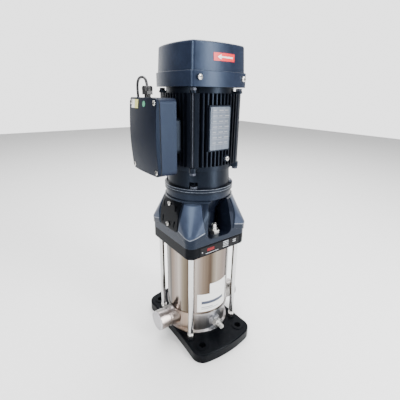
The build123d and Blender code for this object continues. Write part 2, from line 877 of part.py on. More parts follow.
# ================================================================ port caps
cap_plug_radius = port_radius - port_wall - running_gap
for name, side in (("inlet_cap", -1), ("outlet_cap", 1)):
    cap_plane = Plane((side * (port_end + running_gap), 0, port_height), z_dir=(side, 0, 0))
    with BuildPart() as cap:
        with BuildSketch(cap_plane):
            Circle(port_radius - cap_rim_inset)
        extrude(amount=cap_thickness)
        with BuildSketch(cap_plane):
            Circle(cap_plug_radius)
        extrude(amount=-cap_depth)
        with BuildSketch(cap_plane.offset(-cap_depth)):
            Circle(cap_plug_radius - cap_wall)
        extrude(amount=cap_depth, mode=Mode.SUBTRACT)
        cap_face = cap.faces().filter_by(Axis.X).sort_by(lambda face: side * face.center().X)[-1]
        fillet(cap_face.edges(), cap_thickness / 3)
    finish(cap, name)

# ================================================================ pump shaft and bearing
bearing_seat = plate_thickness + casing_floor + seat_gap
with BuildPart() as bottom_bearing:
    ring(pump_shaft_radius + shaft_fit, bottom_bearing_radius, bearing_seat, bottom_bearing_length)
finish(bottom_bearing, "bottom_bearing")

with BuildPart() as pump_shaft:
    ring(0, pump_shaft_radius, pump_shaft_foot, pump_shaft_top - pump_shaft_foot)
    pin_height = coupling_bottom + coupling_length / 4
    with BuildSketch(Plane.XZ.offset(-head_width)):
        with Locations((0, pin_height)):
            Circle(coupling_pin_radius + shaft_fit)
    extrude(amount=2 * head_width, mode=Mode.SUBTRACT)
finish(pump_shaft, "pump_shaft")

seal_seat_foot = head_bottom + seal_pocket_floor
with BuildPart() as seal_seat:
    turned(
        [
            (pump_shaft_radius + seal_bore_gap, seal_seat_foot),
            (seal_pocket_radius - seat_gap, seal_seat_foot),
            (seal_pocket_radius - seat_gap, head_top),
            (seal_flange_radius, head_top),
            (seal_flange_radius, head_top + seal_flange_height),
            (pump_shaft_radius + seal_bore_gap, head_top + seal_flange_height),
        ]
    )
finish(seal_seat, "seal_seat")

with BuildPart() as seal_head:
    seal_head_foot = head_top + seal_flange_height + running_gap
    ring(pump_shaft_radius + shaft_fit, seal_head_radius, seal_head_foot, seal_head_height)
finish(seal_head, "seal_head")

# ================================================================ coupling
coupling_middle = coupling_bottom + coupling_length / 2
screw_heights = [coupling_middle + rise * coupling_screw_spacing / 2 for rise in (-1, 1)]
screw_spots = [(x * coupling_screw_reach, height) for x in (-1, 1) for height in screw_heights]
for name, side in (("coupling_half_front", -1), ("coupling_half_back", 1)):
    with BuildPart() as coupling_half:
        ring(0, coupling_radius, coupling_bottom, coupling_length)
        ring(
            0,
            pump_shaft_radius + shaft_fit,
            coupling_bottom,
            coupling_length / 2,
            Mode.SUBTRACT,
        )
        ring(
            0,
            motor_shaft_radius + shaft_fit,
            pump_shaft_top,
            coupling_length / 2,
            Mode.SUBTRACT,
        )
        half_plane = Plane((0, side * coupling_split / 2, 0), z_dir=(0, side, 0))
        split(bisect_by=half_plane, keep=Keep.TOP)
        with BuildSketch(Plane.XZ.offset(-head_width)):
            with Locations(*screw_spots):
                Circle(coupling_screw_radius + seat_gap)
            with Locations((0, pin_height)):
                Circle(coupling_pin_radius + seat_gap)
        extrude(amount=2 * head_width, mode=Mode.SUBTRACT)
        # flats that the screw heads sit on
        flat_plane = Plane.XZ.offset(-side * coupling_screw_seat)
        with BuildSketch(flat_plane):
            with Locations(*screw_spots):
                Circle(coupling_screw_head + seat_gap)
        extrude(amount=-side * coupling_radius, mode=Mode.SUBTRACT)
    finish(coupling_half, name)

with BuildPart() as coupling_screws:
    with BuildSketch(Plane.XZ.offset(coupling_screw_seat)):
        with Locations(*screw_spots):
            Circle(coupling_screw_head)
    extrude(amount=coupling_screw_head_height)
    with BuildSketch(Plane.XZ.offset(coupling_screw_seat)):
        with Locations(*screw_spots):
            Circle(coupling_screw_radius)
    extrude(amount=-2 * coupling_screw_seat)
finish(coupling_screws, "coupling_screws")

with BuildPart() as coupling_pin:
    with BuildSketch(Plane.XZ.offset(-coupling_pin_length / 2)):
        with Locations((0, pin_height)):
            Circle(coupling_pin_radius)
    extrude(amount=coupling_pin_length)
finish(coupling_pin, "coupling_pin")

# ================================================================ drive end shield
lower_bearing_bottom = frame_bottom - bearing_width - shield_lip
upper_bearing_bottom = frame_top + shield_lip
bearing_pocket = bearing_radius + seat_gap
housing_radius = bearing_pocket + bearing_housing_wall
bolt_pocket = flange_bolt_head / math.sqrt(3) + running_gap
with BuildPart() as drive_end_shield:
    turned(
        [
            (motor_shaft_radius + seal_bore_gap, stool_top),
            (flange_spigot_radius, stool_top),
            (lip_radius, stool_top),
            (lip_radius, flange_top),
            (shield_foot_radius, flange_top),
            (shield_neck_radius, frame_bottom - drive_rim_height),
            (frame_bore_radius + frame_wall, frame_bottom),
            (frame_bore_radius, frame_bottom),
            (frame_bore_radius, flange_top),
            (housing_radius, flange_top),
            (housing_radius, frame_bottom),
            (bearing_pocket, frame_bottom),
            (bearing_pocket, lower_bearing_bottom),
            (motor_shaft_radius + seal_bore_gap, lower_bearing_bottom),
        ]
    )
    ring(
        flange_spigot_radius - cone_wall,
        flange_spigot_radius,
        stool_top - flange_spigot_height,
        flange_spigot_height,
    )
    # rim and ears under the frame
    rim_radius = frame_side_reach - fin_thickness
    ring(frame_bore_radius, rim_radius, frame_bottom - drive_lug_height, drive_lug_height)
    ears(frame_bottom - drive_lug_height, drive_lug_height)
    drilled(flange_bolt_spots, bolt_pocket, flange_top, flange_bolt_pocket_height)
    drilled(flange_bolt_spots, flange_bolt_radius + seat_gap, stool_top, flange_height)
    drilled(
        lug_spots, tie_bolt_radius + seat_gap, frame_bottom - drive_lug_height, drive_lug_height
    )
finish(drive_end_shield, "drive_end_shield")

with BuildPart() as flange_bolts:
    hexagons(flange_bolt_spots, flange_bolt_head, flange_top, flange_bolt_head_height)
    shank_foot = flange_top - flange_bolt_length + seat_gap
    drilled(
        flange_bolt_spots, flange_bolt_radius, shank_foot, flange_top - shank_foot, Mode.ADD
    )
finish(flange_bolts, "flange_bolts")

# ================================================================ finned frame
box_pad_face = box_back - box_neck_depth
nameplate_middle = frame_bottom + nameplate_rise
pad_reach = frame_side_reach + nameplate_pad
with BuildPart() as motor_frame:
    fin_offsets = [fin_pitch * (index - (fin_count - 1) / 2) for index in range(fin_count)]
    with BuildSketch(Plane.XY.offset(frame_bottom)):
        for turn in (0, 90):
            with Locations(Rotation(0, 0, turn)):
                with Locations(*[(offset, 0) for offset in fin_offsets]):
                    Rectangle(fin_thickness, 2 * frame_corner_reach)
        # plain blocks at the corners, which the tie bolts run down
        for turn in (45, 135):
            with Locations(Rotation(0, 0, turn)):
                Rectangle(2 * frame_corner_reach, corner_block_width)
        add(
            bulged_square(frame_corner_reach, frame_side_reach, frame_corner_radius),
            mode=Mode.INTERSECT,
        )
        Circle(frame_bore_radius + frame_wall)
        Circle(frame_bore_radius, mode=Mode.SUBTRACT)
        # channels for the tie bolts, open to the outside
        channel_radius = tie_bolt_radius + seat_gap
        with Locations(*lug_spots):
            Circle(channel_radius, mode=Mode.SUBTRACT)
        for turn in (45, 135, 225, 315):
            with Locations(Rotation(0, 0, turn)):
                with Locations((lug_reach + lug_radius / 2, 0)):
                    Rectangle(lug_radius, 2 * channel_radius, mode=Mode.SUBTRACT)
    extrude(amount=frame_height)
    # flat pad under the nameplate, and the pad that carries the terminal box
    with BuildSketch(Plane.XZ.offset(frame_bore_radius + frame_wall / 2)):
        with Locations((nameplate_offset, nameplate_middle)):
            Rectangle(nameplate_width + 2 * fin_thickness, nameplate_height + 2 * fin_thickness)
    extrude(amount=pad_reach - frame_bore_radius - frame_wall / 2)
    neck_side = box_neck_width + 2 * box_wall
    with BuildSketch(Plane.YZ.offset(-box_pad_face)):
        with Locations((0, box_middle)):
            RectangleRounded(neck_side, neck_side, box_corner_radius)
    extrude(amount=box_pad_face - frame_bore_radius - frame_wall / 2)
    # lead passage from the box to the windings
    with BuildSketch(Plane.YZ.offset(-box_pad_face)):
        with Locations((0, box_middle)):
            Circle(lead_passage_radius)
    extrude(amount=box_pad_face - frame_bore_radius / 2, mode=Mode.SUBTRACT)
    # earth screw boss low on the front
    earth_height = frame_bottom + earth_screw_rise
    with BuildSketch(Plane.XZ.offset(frame_bore_radius + frame_wall / 2)):
        with Locations((earth_screw_offset, earth_height)):
            Circle(earth_screw_head + fin_thickness)
    extrude(amount=frame_side_reach - frame_bore_radius - frame_wall / 2)
finish(motor_frame, "motor_frame")

with BuildPart() as earth_screw:
    with BuildSketch(Plane.XZ.offset(frame_side_reach)):
        with Locations((earth_screw_offset, earth_height)):
            Circle(earth_screw_head)
    extrude(amount=earth_screw_head_height)
finish(earth_screw, "earth_screw")

with BuildPart() as nameplate:
    with BuildSketch(Plane.XZ.offset(pad_reach)):
        with Locations((nameplate_offset, nameplate_middle)):
            RectangleRounded(nameplate_width, nameplate_height, fin_thickness)
    extrude(amount=nameplate_thickness)
finish(nameplate, "nameplate")

# ================================================================ rear shield
cowl_bore_reach = cowl_ring_reach - cowl_wall - seat_gap
cowl_bore_side = cowl_side_reach - cowl_wall - seat_gap
cowl_bore_corner = cowl_corner_radius - cowl_wall - seat_gap
cowl_screw_height = cowl_bottom + cowl_screw_rise
with BuildPart() as rear_shield:
    turned(
        [
            (fan_shaft_radius + seal_bore_gap, upper_bearing_bottom + bearing_width),
            (bearing_pocket, upper_bearing_bottom + bearing_width),
            (bearing_pocket, frame_top),
            (housing_radius, frame_top),
            (housing_radius, cowl_bottom),
            (frame_bore_radius, cowl_bottom),
            (frame_bore_radius, frame_top),
            (shield_rim_radius, frame_top),
            (shield_rim_radius, cowl_bottom + shield_lip),
            (housing_radius, cowl_bottom + shield_lip),
            (housing_radius, upper_bearing_bottom + bearing_width + shield_lip),
            (fan_shaft_radius + seal_bore_gap, upper_bearing_bottom + bearing_width + shield_lip),
        ]
    )
    ears(frame_top, rear_lug_height)
    # hollow rim that the cowl is screwed to
    with BuildSketch(Plane.XY.offset(cowl_bottom)):
        add(bulged_square(cowl_bore_reach, cowl_bore_side, cowl_bore_corner))
        add(
            bulged_square(
                cowl_bore_reach - seat_rim_wall,
                cowl_bore_side - seat_rim_wall,
                cowl_bore_corner - seat_rim_wall / 2,
            ),
            mode=Mode.SUBTRACT,
        )
    extrude(amount=seat_rim_height)
    with BuildSketch(Plane.XY.offset(cowl_bottom)):
        add(bulged_square(cowl_bore_reach, cowl_bore_side, cowl_bore_corner))
        Circle(housing_radius, mode=Mode.SUBTRACT)
    extrude(amount=shield_lip)
    drilled(lug_spots, tie_bolt_radius + seat_gap, frame_top, rear_lug_height)
    with BuildSketch(Plane.XZ.offset(-frame_corner_reach)):
        with Locations(*[(x * cowl_screw_spread / 2, cowl_screw_height) for x in (-1, 1)]):
            Circle(cowl_screw_radius + seat_gap)
    extrude(amount=2 * frame_corner_reach, mode=Mode.SUBTRACT)
finish(rear_shield, "rear_shield")

with BuildPart() as tie_bolts:
    tie_foot = frame_bottom - drive_lug_height
    tie_top = frame_top + rear_lug_height
    hexagons(lug_spots, tie_bolt_hex, tie_foot - tie_bolt_head_height, tie_bolt_head_height)
    drilled(lug_spots, tie_bolt_radius, tie_foot, tie_top - tie_foot, Mode.ADD)
    hexagons(lug_spots, tie_bolt_hex, tie_top, tie_bolt_head_height)
finish(tie_bolts, "tie_bolts")

# ================================================================ fan cover
cowl_ring_top = cowl_bottom + cowl_ring_height
upper_reach = cowl_ring_reach - cowl_step
upper_side = cowl_side_reach - cowl_step
with BuildPart() as fan_cover:
    with BuildSketch(Plane.XY.offset(cowl_bottom)):
        add(bulged_square(cowl_ring_reach, cowl_side_reach, cowl_corner_radius))
    extrude(amount=cowl_ring_height)
    fillet(fan_cover.faces().sort_by(Axis.Z)[-1].edges(), cowl_step / 2)
    with BuildSketch(Plane.XY.offset(cowl_ring_top - cowl_step)):
        add(bulged_square(upper_reach, upper_side, cowl_corner_radius))
    with BuildSketch(Plane.XY.offset(cowl_top)):
        add(bulged_square(upper_reach - cowl_taper, upper_side - cowl_taper, cowl_corner_radius))
    loft(ruled=True)
    fillet(fan_cover.faces().sort_by(Axis.Z)[-1].edges(), cowl_top_radius)
    with BuildSketch(Plane.XY.offset(cowl_bottom)):
        add(
            bulged_square(
                cowl_ring_reach - cowl_wall,
                cowl_side_reach - cowl_wall,
                cowl_corner_radius - cowl_wall,
            )
        )
    extrude(amount=cowl_ring_height - cowl_wall - cowl_step, mode=Mode.SUBTRACT)
    inner_reach = upper_reach - cowl_taper - cowl_wall
    inner_side = upper_side - cowl_taper - cowl_wall
    with BuildSketch(Plane.XY.offset(cowl_bottom)):
        add(bulged_square(inner_reach, inner_side, cowl_corner_radius - cowl_wall))
    extrude(amount=cowl_height - cowl_wall, mode=Mode.SUBTRACT)
    # ring shaped air slots between spokes
    with BuildSketch(Plane.XY.offset(cowl_top - 2 * cowl_wall)):
        for index in reversed(range(1, grille_rings + 1)):
            Circle(index * grille_pitch + grille_pitch / 2)
            Circle(index * grille_pitch - grille_pitch / 2 + grille_bar, mode=Mode.SUBTRACT)
        with PolarLocations(0, grille_spokes):
            Rectangle(2 * frame_corner_reach, grille_spoke_width, mode=Mode.SUBTRACT)
    extrude(amount=3 * cowl_wall, mode=Mode.SUBTRACT)
    with BuildSketch(Plane.XZ.offset(-frame_corner_reach)):
        with Locations(*[(x * cowl_screw_spread / 2, cowl_screw_height) for x in (-1, 1)]):
            Circle(cowl_screw_radius + seat_gap)
    extrude(amount=2 * frame_corner_reach, mode=Mode.SUBTRACT)
finish(fan_cover, "fan_cover")

# the bowed side lies on a circle through its two corners and its crown
half_chord = cowl_ring_reach / math.sqrt(2)
side_rise = cowl_side_reach - half_chord
side_arc = (half_chord**2 + side_rise**2) / (2 * side_rise)
screw_x = cowl_screw_spread / 2
screw_face = cowl_side_reach - side_arc + math.sqrt(side_arc**2 - screw_x**2)
with BuildPart() as cowl_screws:
    for front in (-1, 1):
        screw_middle = (0, front * screw_face, cowl_screw_height)
        screw_plane = Plane(screw_middle, x_dir=(1, 0, 0), z_dir=(0, front, 0))
        with BuildSketch(screw_plane):
            with Locations((-screw_x, 0), (screw_x, 0)):
                Circle(cowl_screw_radius)
        extrude(amount=-cowl_screw_length)
        head_lift = cowl_screw_head * screw_x / side_arc + seat_gap
        with BuildSketch(screw_plane.offset(head_lift)):
            with Locations((-screw_x, 0), (screw_x, 0)):
                Circle(cowl_screw_head)
        extrude(amount=cowl_screw_head_height)
        with BuildSketch(screw_plane):
            with Locations((-screw_x, 0), (screw_x, 0)):
                Circle(cowl_screw_radius)
        extrude(amount=head_lift)
finish(cowl_screws, "cowl_screws")

# ================================================================ stator, rotor and shaft
core_bottom = frame_bottom + (frame_height - core_length) / 2
core_top = core_bottom + core_length
stator_bore = rotor_radius + air_gap
with BuildPart() as stator_core:
    ring(stator_bore, frame_bore_radius - shaft_fit, core_bottom, core_length)
finish(stator_core, "stator_core")

with BuildPart() as stator_windings:
    for foot in (core_bottom - winding_height, core_top):
        ring(winding_inner_radius, winding_inner_radius + winding_wall, foot, winding_height)
finish(stator_windings, "stator_windings")

with BuildPart() as rotor_core:
    bore = rotor_shaft_radius + shaft_fit
    ring(bore, rotor_radius, core_bottom, core_length)
    ring(bore, end_ring_radius, core_bottom - end_ring_height, core_length + 2 * end_ring_height)
finish(rotor_core, "rotor_core")

fan_bottom = cowl_bottom + fan_rise
fan_top = fan_bottom + fan_height
with BuildPart() as motor_shaft:
    turned(
        [
            (0, motor_shaft_bottom),
            (motor_shaft_radius, motor_shaft_bottom),
            (motor_shaft_radius, lower_bearing_bottom),
            (bearing_bore, lower_bearing_bottom),
            (bearing_bore, lower_bearing_bottom + bearing_width),
            (rotor_shaft_radius, lower_bearing_bottom + bearing_width),
            (rotor_shaft_radius, upper_bearing_bottom),
            (bearing_bore, upper_bearing_bottom),
            (bearing_bore, upper_bearing_bottom + bearing_width),
            (fan_shaft_radius, upper_bearing_bottom + bearing_width),
            (fan_shaft_radius, fan_top),
            (0, fan_top),
        ]
    )
finish(motor_shaft, "motor_shaft")

# ================================================================ motor bearings
race_middle = (bearing_bore + bearing_radius) / 2
bearing_feet = (lower_bearing_bottom, upper_bearing_bottom)
with BuildPart() as bearing_outer_rings:
    for foot in bearing_feet:
        ring(bearing_radius - race_thickness, bearing_radius, foot, bearing_width)
finish(bearing_outer_rings, "bearing_outer_rings")

with BuildPart() as bearing_inner_rings:
    for foot in bearing_feet:
        ring(bearing_bore + shaft_fit, bearing_bore + race_thickness, foot, bearing_width)
finish(bearing_inner_rings, "bearing_inner_rings")

race_space = bearing_radius - bearing_bore - 2 * race_thickness
with BuildPart() as bearing_balls:
    for foot in bearing_feet:
        with Locations(Plane.XY.offset(foot + bearing_width / 2)):
            with PolarLocations(race_middle, ball_count):
                Sphere(race_space / 2 - seat_gap)
finish(bearing_balls, "bearing_balls")

# ================================================================ fan
with BuildPart() as fan:
    ring(fan_shaft_radius + shaft_fit, fan_hub_radius, fan_bottom, fan_height)
    ring(fan_hub_radius, fan_radius, fan_bottom, fan_blade_thickness)
    with BuildSketch(Plane.XY.offset(fan_bottom)):
        with PolarLocations((fan_hub_radius + fan_radius) / 2, fan_blades):
            Rectangle(fan_radius - fan_hub_radius + seat_gap, fan_blade_thickness)
    extrude(amount=fan_height)
finish(fan, "fan")

# ================================================================ terminal box
box_front = box_back + box_depth
box_outline = Plane.YZ.offset(-box_back)
lid_back = box_front + gasket_thickness
lid_edge = lid_back + lid_rim
lid_screw_spots = [
    (
        y * (box_width / 2 - lid_screw_inset),
        box_middle + z * (box_height / 2 - lid_screw_inset),
    )
    for y in (-1, 1)
    for z in (-1, 1)
]
inner_width = box_width - 2 * box_wall
inner_height = box_height - 2 * box_wall
inner_corner = box_corner_radius - box_wall
with BuildPart() as terminal_box:
    with BuildSketch(box_outline):
        with Locations((0, box_middle)):
            RectangleRounded(box_width, box_height, box_corner_radius)
    extrude(amount=-box_depth)
    with BuildSketch(box_outline.offset(-box_wall)):
        with Locations((0, box_middle)):
            RectangleRounded(inner_width, inner_height, inner_corner)
    extrude(amount=-box_depth, mode=Mode.SUBTRACT)
    with BuildSketch(box_outline.offset(-box_wall / 2)):
        with Locations(*lid_screw_spots):
            Circle(lid_boss_radius)
    extrude(amount=box_wall / 2 - box_depth)
    # neck on the frame and the passage through it
    with BuildSketch(box_outline):
        with Locations((0, box_middle)):
            RectangleRounded(box_neck_width, box_neck_width, box_corner_radius)
    extrude(amount=box_neck_depth)
    with BuildSketch(Plane.YZ.offset(-box_front)):
        with Locations((0, box_middle)):
            Circle(lead_passage_radius)
    extrude(amount=box_front - box_pad_face, mode=Mode.SUBTRACT)
    with BuildSketch(Plane.YZ.offset(-box_front)):
        with Locations(*lid_screw_spots):
            Circle(lid_screw_radius + seat_gap)
    extrude(amount=lid_screw_length, mode=Mode.SUBTRACT)
    # entry for the gland
    gland_spot = (-gland_offset_x, gland_offset_y)
    drilled([gland_spot], lead_radius + seat_gap, box_top - box_wall, box_wall)
finish(terminal_box, "terminal_box")

with BuildPart() as lid_gasket:
    with BuildSketch(Plane.YZ.offset(-box_front)):
        with Locations((0, box_middle)):
            RectangleRounded(box_width - box_wall / 2, box_height - box_wall / 2, inner_corner)
            RectangleRounded(inner_width, inner_height, inner_corner, mode=Mode.SUBTRACT)
        with Locations(*lid_screw_spots):
            Circle(lid_boss_radius)
            Circle(lid_screw_radius + seat_gap, mode=Mode.SUBTRACT)
    extrude(amount=-gasket_thickness)
finish(lid_gasket, "lid_gasket")

lid_reach = math.hypot(box_width / 2, box_height / 2)
lid_dome = (lid_reach**2 + lid_bulge**2) / (2 * lid_bulge)
dome_middle = lid_edge + lid_bulge - lid_dome
recess_floor = lid_edge - lid_screw_head_height + lid_bulge / 4
with BuildPart() as terminal_lid:
    with BuildSketch(Plane.YZ.offset(-lid_back)):
        with Locations((0, box_middle)):
            RectangleRounded(box_width, box_height, box_corner_radius)
    extrude(amount=-lid_rim - lid_bulge)
    with Locations((-dome_middle, 0, box_middle)):
        Sphere(lid_dome, mode=Mode.INTERSECT)
    with BuildSketch(Plane.YZ.offset(-lid_back)):
        with Locations((0, box_middle)):
            RectangleRounded(inner_width, inner_height, inner_corner)
        with Locations(*lid_screw_spots):
            Circle(lid_boss_radius, mode=Mode.SUBTRACT)
    extrude(amount=-lid_pocket, mode=Mode.SUBTRACT)
    with BuildSketch(Plane.YZ.offset(-recess_floor)):
        with Locations(*lid_screw_spots):
            Circle(lid_screw_recess)
    extrude(amount=-lid_bulge - lid_rim, mode=Mode.SUBTRACT)
    with BuildSketch(Plane.YZ.offset(-lid_back)):
        with Locations(*lid_screw_spots):
            Circle(lid_screw_radius + seat_gap)
    extrude(amount=-lid_rim - lid_bulge, mode=Mode.SUBTRACT)
finish(terminal_lid, "terminal_lid")

with BuildPart() as lid_screws:
    with BuildSketch(Plane.YZ.offset(-recess_floor)):
        with Locations(*lid_screw_spots):
            Circle(lid_screw_head)
    extrude(amount=-lid_screw_head_height)
    with BuildSketch(Plane.YZ.offset(-recess_floor)):
        with Locations(*lid_screw_spots):
            Circle(lid_screw_radius)
    extrude(amount=lid_screw_length - lid_rim)
finish(lid_screws, "lid_screws")

board_back = box_back + box_wall
with BuildPart() as terminal_board:
    with BuildSketch(Plane.YZ.offset(-board_back)):
        with Locations((0, box_middle - board_drop)):
            Rectangle(board_width, board_height)
    extrude(amount=-board_thickness)
    with BuildSketch(Plane.YZ.offset(-board_back - board_thickness)):
        with Locations((0, box_middle - board_drop)):
            with GridLocations(post_spread, 2 * post_spread, 3, 2):
                Circle(post_radius)
    extrude(amount=-post_height)
finish(terminal_board, "terminal_board")

# ================================================================ cable gland
gland_top = box_top + gland_neck_height + gland_hex_height + gland_nut_height
with BuildPart() as cable_gland:
    drilled([gland_spot], gland_neck_radius, box_top, gland_neck_height, Mode.ADD)
    hexagons([gland_spot], gland_hex, box_top + gland_neck_height, gland_hex_height)
    nut_bottom = gland_top - gland_nut_height
    drilled([gland_spot], gland_nut_radius, nut_bottom, gland_nut_height, Mode.ADD)
    gland_rim = cable_gland.faces().sort_by(Axis.Z)[-1].edges()
    fillet(gland_rim, gland_nut_height / 4)
    drilled([gland_spot], lead_radius + shaft_fit, gland_top - gland_bore_depth, gland_bore_depth)
finish(cable_gland, "cable_gland")

# elbow on the hidden end wall of the box, where the lead goes back in
elbow_y = box_width / 2 + elbow_reach
elbow_spot = (-elbow_offset_x, elbow_y)
elbow_mouth = box_bottom + elbow_top
with BuildPart() as lead_elbow:
    drilled([elbow_spot], elbow_radius, elbow_mouth - elbow_height, elbow_height, Mode.ADD)
    elbow_middle = elbow_mouth - elbow_height + elbow_radius
    with BuildSketch(Plane.XZ.offset(-box_width / 2)):
        with Locations((-elbow_offset_x, elbow_middle)):
            Circle(elbow_neck_radius)
    extrude(amount=-elbow_reach)
    elbow_seat = elbow_mouth - elbow_bore_depth
    drilled([elbow_spot], lead_radius + shaft_fit, elbow_seat, elbow_bore_depth)
finish(lead_elbow, "lead_elbow")

# ================================================================ motor lead
arch_step = lead_arch - lead_lift
bow_x = -(gland_offset_x + elbow_offset_x) / 2
lead_points = [
    (-gland_offset_x, gland_offset_y, gland_top - gland_bore_depth),
    (-gland_offset_x, gland_offset_y, gland_top + lead_lift),
    (-gland_offset_x, gland_offset_y + arch_step, gland_top + lead_arch),
    (-gland_offset_x, elbow_y - arch_step, gland_top + lead_arch),
    (-gland_offset_x, elbow_y, gland_top + lead_lift),
    (bow_x, elbow_y + lead_bow, gland_top - lead_drop),
    (-elbow_offset_x, elbow_y, elbow_mouth + lead_run_in),
    (-elbow_offset_x, elbow_y, elbow_mouth - elbow_bore_depth),
]


def bend_radii(points):
    """Radius at each inner point, as large as its two runs allow."""
    radii = []
    for before, here, after in zip(points, points[1:], points[2:]):
        run_in = Vector(*here) - Vector(*before)
        run_out = Vector(*after) - Vector(*here)
        half_turn = math.radians(run_in.get_angle(run_out)) / 2
        radii.append(0.45 * min(run_in.length, run_out.length) / math.tan(half_turn))
    return radii


lead_radii = bend_radii(lead_points)
with BuildPart() as motor_lead:
    with BuildLine() as lead_route:
        FilletPolyline(*lead_points, radius=lead_radii)
    with BuildSketch(Plane(lead_points[0], z_dir=(0, 0, 1))):
        Circle(lead_radius)
    sweep(path=lead_route.line)
finish(motor_lead, "motor_lead")
print("lead radii", [round(radius, 1) for radius in lead_radii])
print("lead length", round(sum(edge.length for edge in lead_route.edges()), 1))
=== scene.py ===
"""The look of the vertical multistage pump: finishes, markings, screw details and its lead.

Everything is in metres, in the CAD model's frame: Z up along the shaft, -Y the front, -X the
side of the terminal box. Places come from the CAD nodes' boxes.
"""

import json
import math

import bmesh
import bpy
from mathutils import Matrix, Vector
from mathutils.bvhtree import BVHTree


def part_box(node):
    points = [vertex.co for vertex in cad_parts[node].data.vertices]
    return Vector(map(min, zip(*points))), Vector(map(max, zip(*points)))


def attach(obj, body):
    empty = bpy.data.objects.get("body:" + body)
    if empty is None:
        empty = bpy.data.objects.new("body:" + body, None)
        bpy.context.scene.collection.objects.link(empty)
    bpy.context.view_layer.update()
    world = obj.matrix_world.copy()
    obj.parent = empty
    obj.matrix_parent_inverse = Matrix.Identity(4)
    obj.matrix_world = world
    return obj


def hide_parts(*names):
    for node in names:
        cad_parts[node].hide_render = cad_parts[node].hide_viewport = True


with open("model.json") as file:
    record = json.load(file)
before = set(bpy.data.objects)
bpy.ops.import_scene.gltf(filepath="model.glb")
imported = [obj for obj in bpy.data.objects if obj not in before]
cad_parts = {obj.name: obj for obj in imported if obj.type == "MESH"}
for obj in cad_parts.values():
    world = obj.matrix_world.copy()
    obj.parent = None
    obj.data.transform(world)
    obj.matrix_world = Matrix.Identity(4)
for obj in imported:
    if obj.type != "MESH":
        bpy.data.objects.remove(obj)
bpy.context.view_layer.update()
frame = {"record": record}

MM = 0.001
HOUSING = "housing"
SKIN = 0.15 * MM  # how far a sticker stands off the surface under it
OVERLAY = 2.2 * SKIN  # the same for a film on top of another
FACE_LIFT = 3 * SKIN  # the same for a film over a curved corner
OUTSIDE = 0.5  # rays towards the part start this far from its axis
EDGE = 0.7 * MM  # softness of the edges in the light


# ---------------------------------------------------------------- materials
def surface(
    name,
    color,
    roughness,
    metallic=0.0,
    variation=0.12,
    grain=60.0,
    stretch=(1.0, 1.0, 1.0),
    roughness_spread=0.08,
    bump=0.0,
    bump_grain=600.0,
    specular=0.5,
    sheen_color=(1.0, 1.0, 1.0),
):
    """A finish whose colour, roughness and relief vary a little over the surface."""
    material = bpy.data.materials.new(name)
    material.use_nodes = True
    nodes = material.node_tree.nodes
    links = material.node_tree.links
    shader = nodes["Principled BSDF"]
    shader.inputs["Metallic"].default_value = metallic
    shader.inputs["Specular IOR Level"].default_value = specular
    shader.inputs["Specular Tint"].default_value = (*sheen_color, 1)

    place = nodes.new("ShaderNodeTexCoord")
    spread = nodes.new("ShaderNodeMapping")
    spread.inputs["Scale"].default_value = stretch
    links.new(place.outputs["Object"], spread.inputs["Vector"])

    blotch = nodes.new("ShaderNodeTexNoise")
    blotch.inputs["Scale"].default_value = grain
    blotch.inputs["Detail"].default_value = 5.0
    links.new(spread.outputs["Vector"], blotch.inputs["Vector"])

    tint = nodes.new("ShaderNodeValToRGB")
    tint.color_ramp.elements[0].position = 0.3
    tint.color_ramp.elements[1].position = 0.7
    tint.color_ramp.elements[0].color = [c * (1 - variation) for c in color] + [1]
    tint.color_ramp.elements[1].color = [min(1, c * (1 + variation)) for c in color] + [1]
    links.new(blotch.outputs["Fac"], tint.inputs["Fac"])
    links.new(tint.outputs["Color"], shader.inputs["Base Color"])

    polish = nodes.new("ShaderNodeMapRange")
    polish.inputs["To Min"].default_value = max(0.02, roughness - roughness_spread)
    polish.inputs["To Max"].default_value = roughness + roughness_spread
    links.new(blotch.outputs["Fac"], polish.inputs["Value"])
    links.new(polish.outputs["Result"], shader.inputs["Roughness"])

    edges = nodes.new("ShaderNodeBevel")
    edges.samples = 4
    edges.inputs["Radius"].default_value = EDGE
    links.new(edges.outputs["Normal"], shader.inputs["Normal"])
    if bump:
        relief = nodes.new("ShaderNodeTexNoise")
        relief.inputs["Scale"].default_value = bump_grain
        relief.inputs["Detail"].default_value = 3.0
        links.new(spread.outputs["Vector"], relief.inputs["Vector"])
        lift = nodes.new("ShaderNodeBump")
        lift.inputs["Strength"].default_value = bump
        lift.inputs["Distance"].default_value = 0.5 * MM
        links.new(relief.outputs["Fac"], lift.inputs["Height"])
        links.new(edges.outputs["Normal"], lift.inputs["Normal"])
        links.new(lift.outputs["Normal"], shader.inputs["Normal"])
    return material


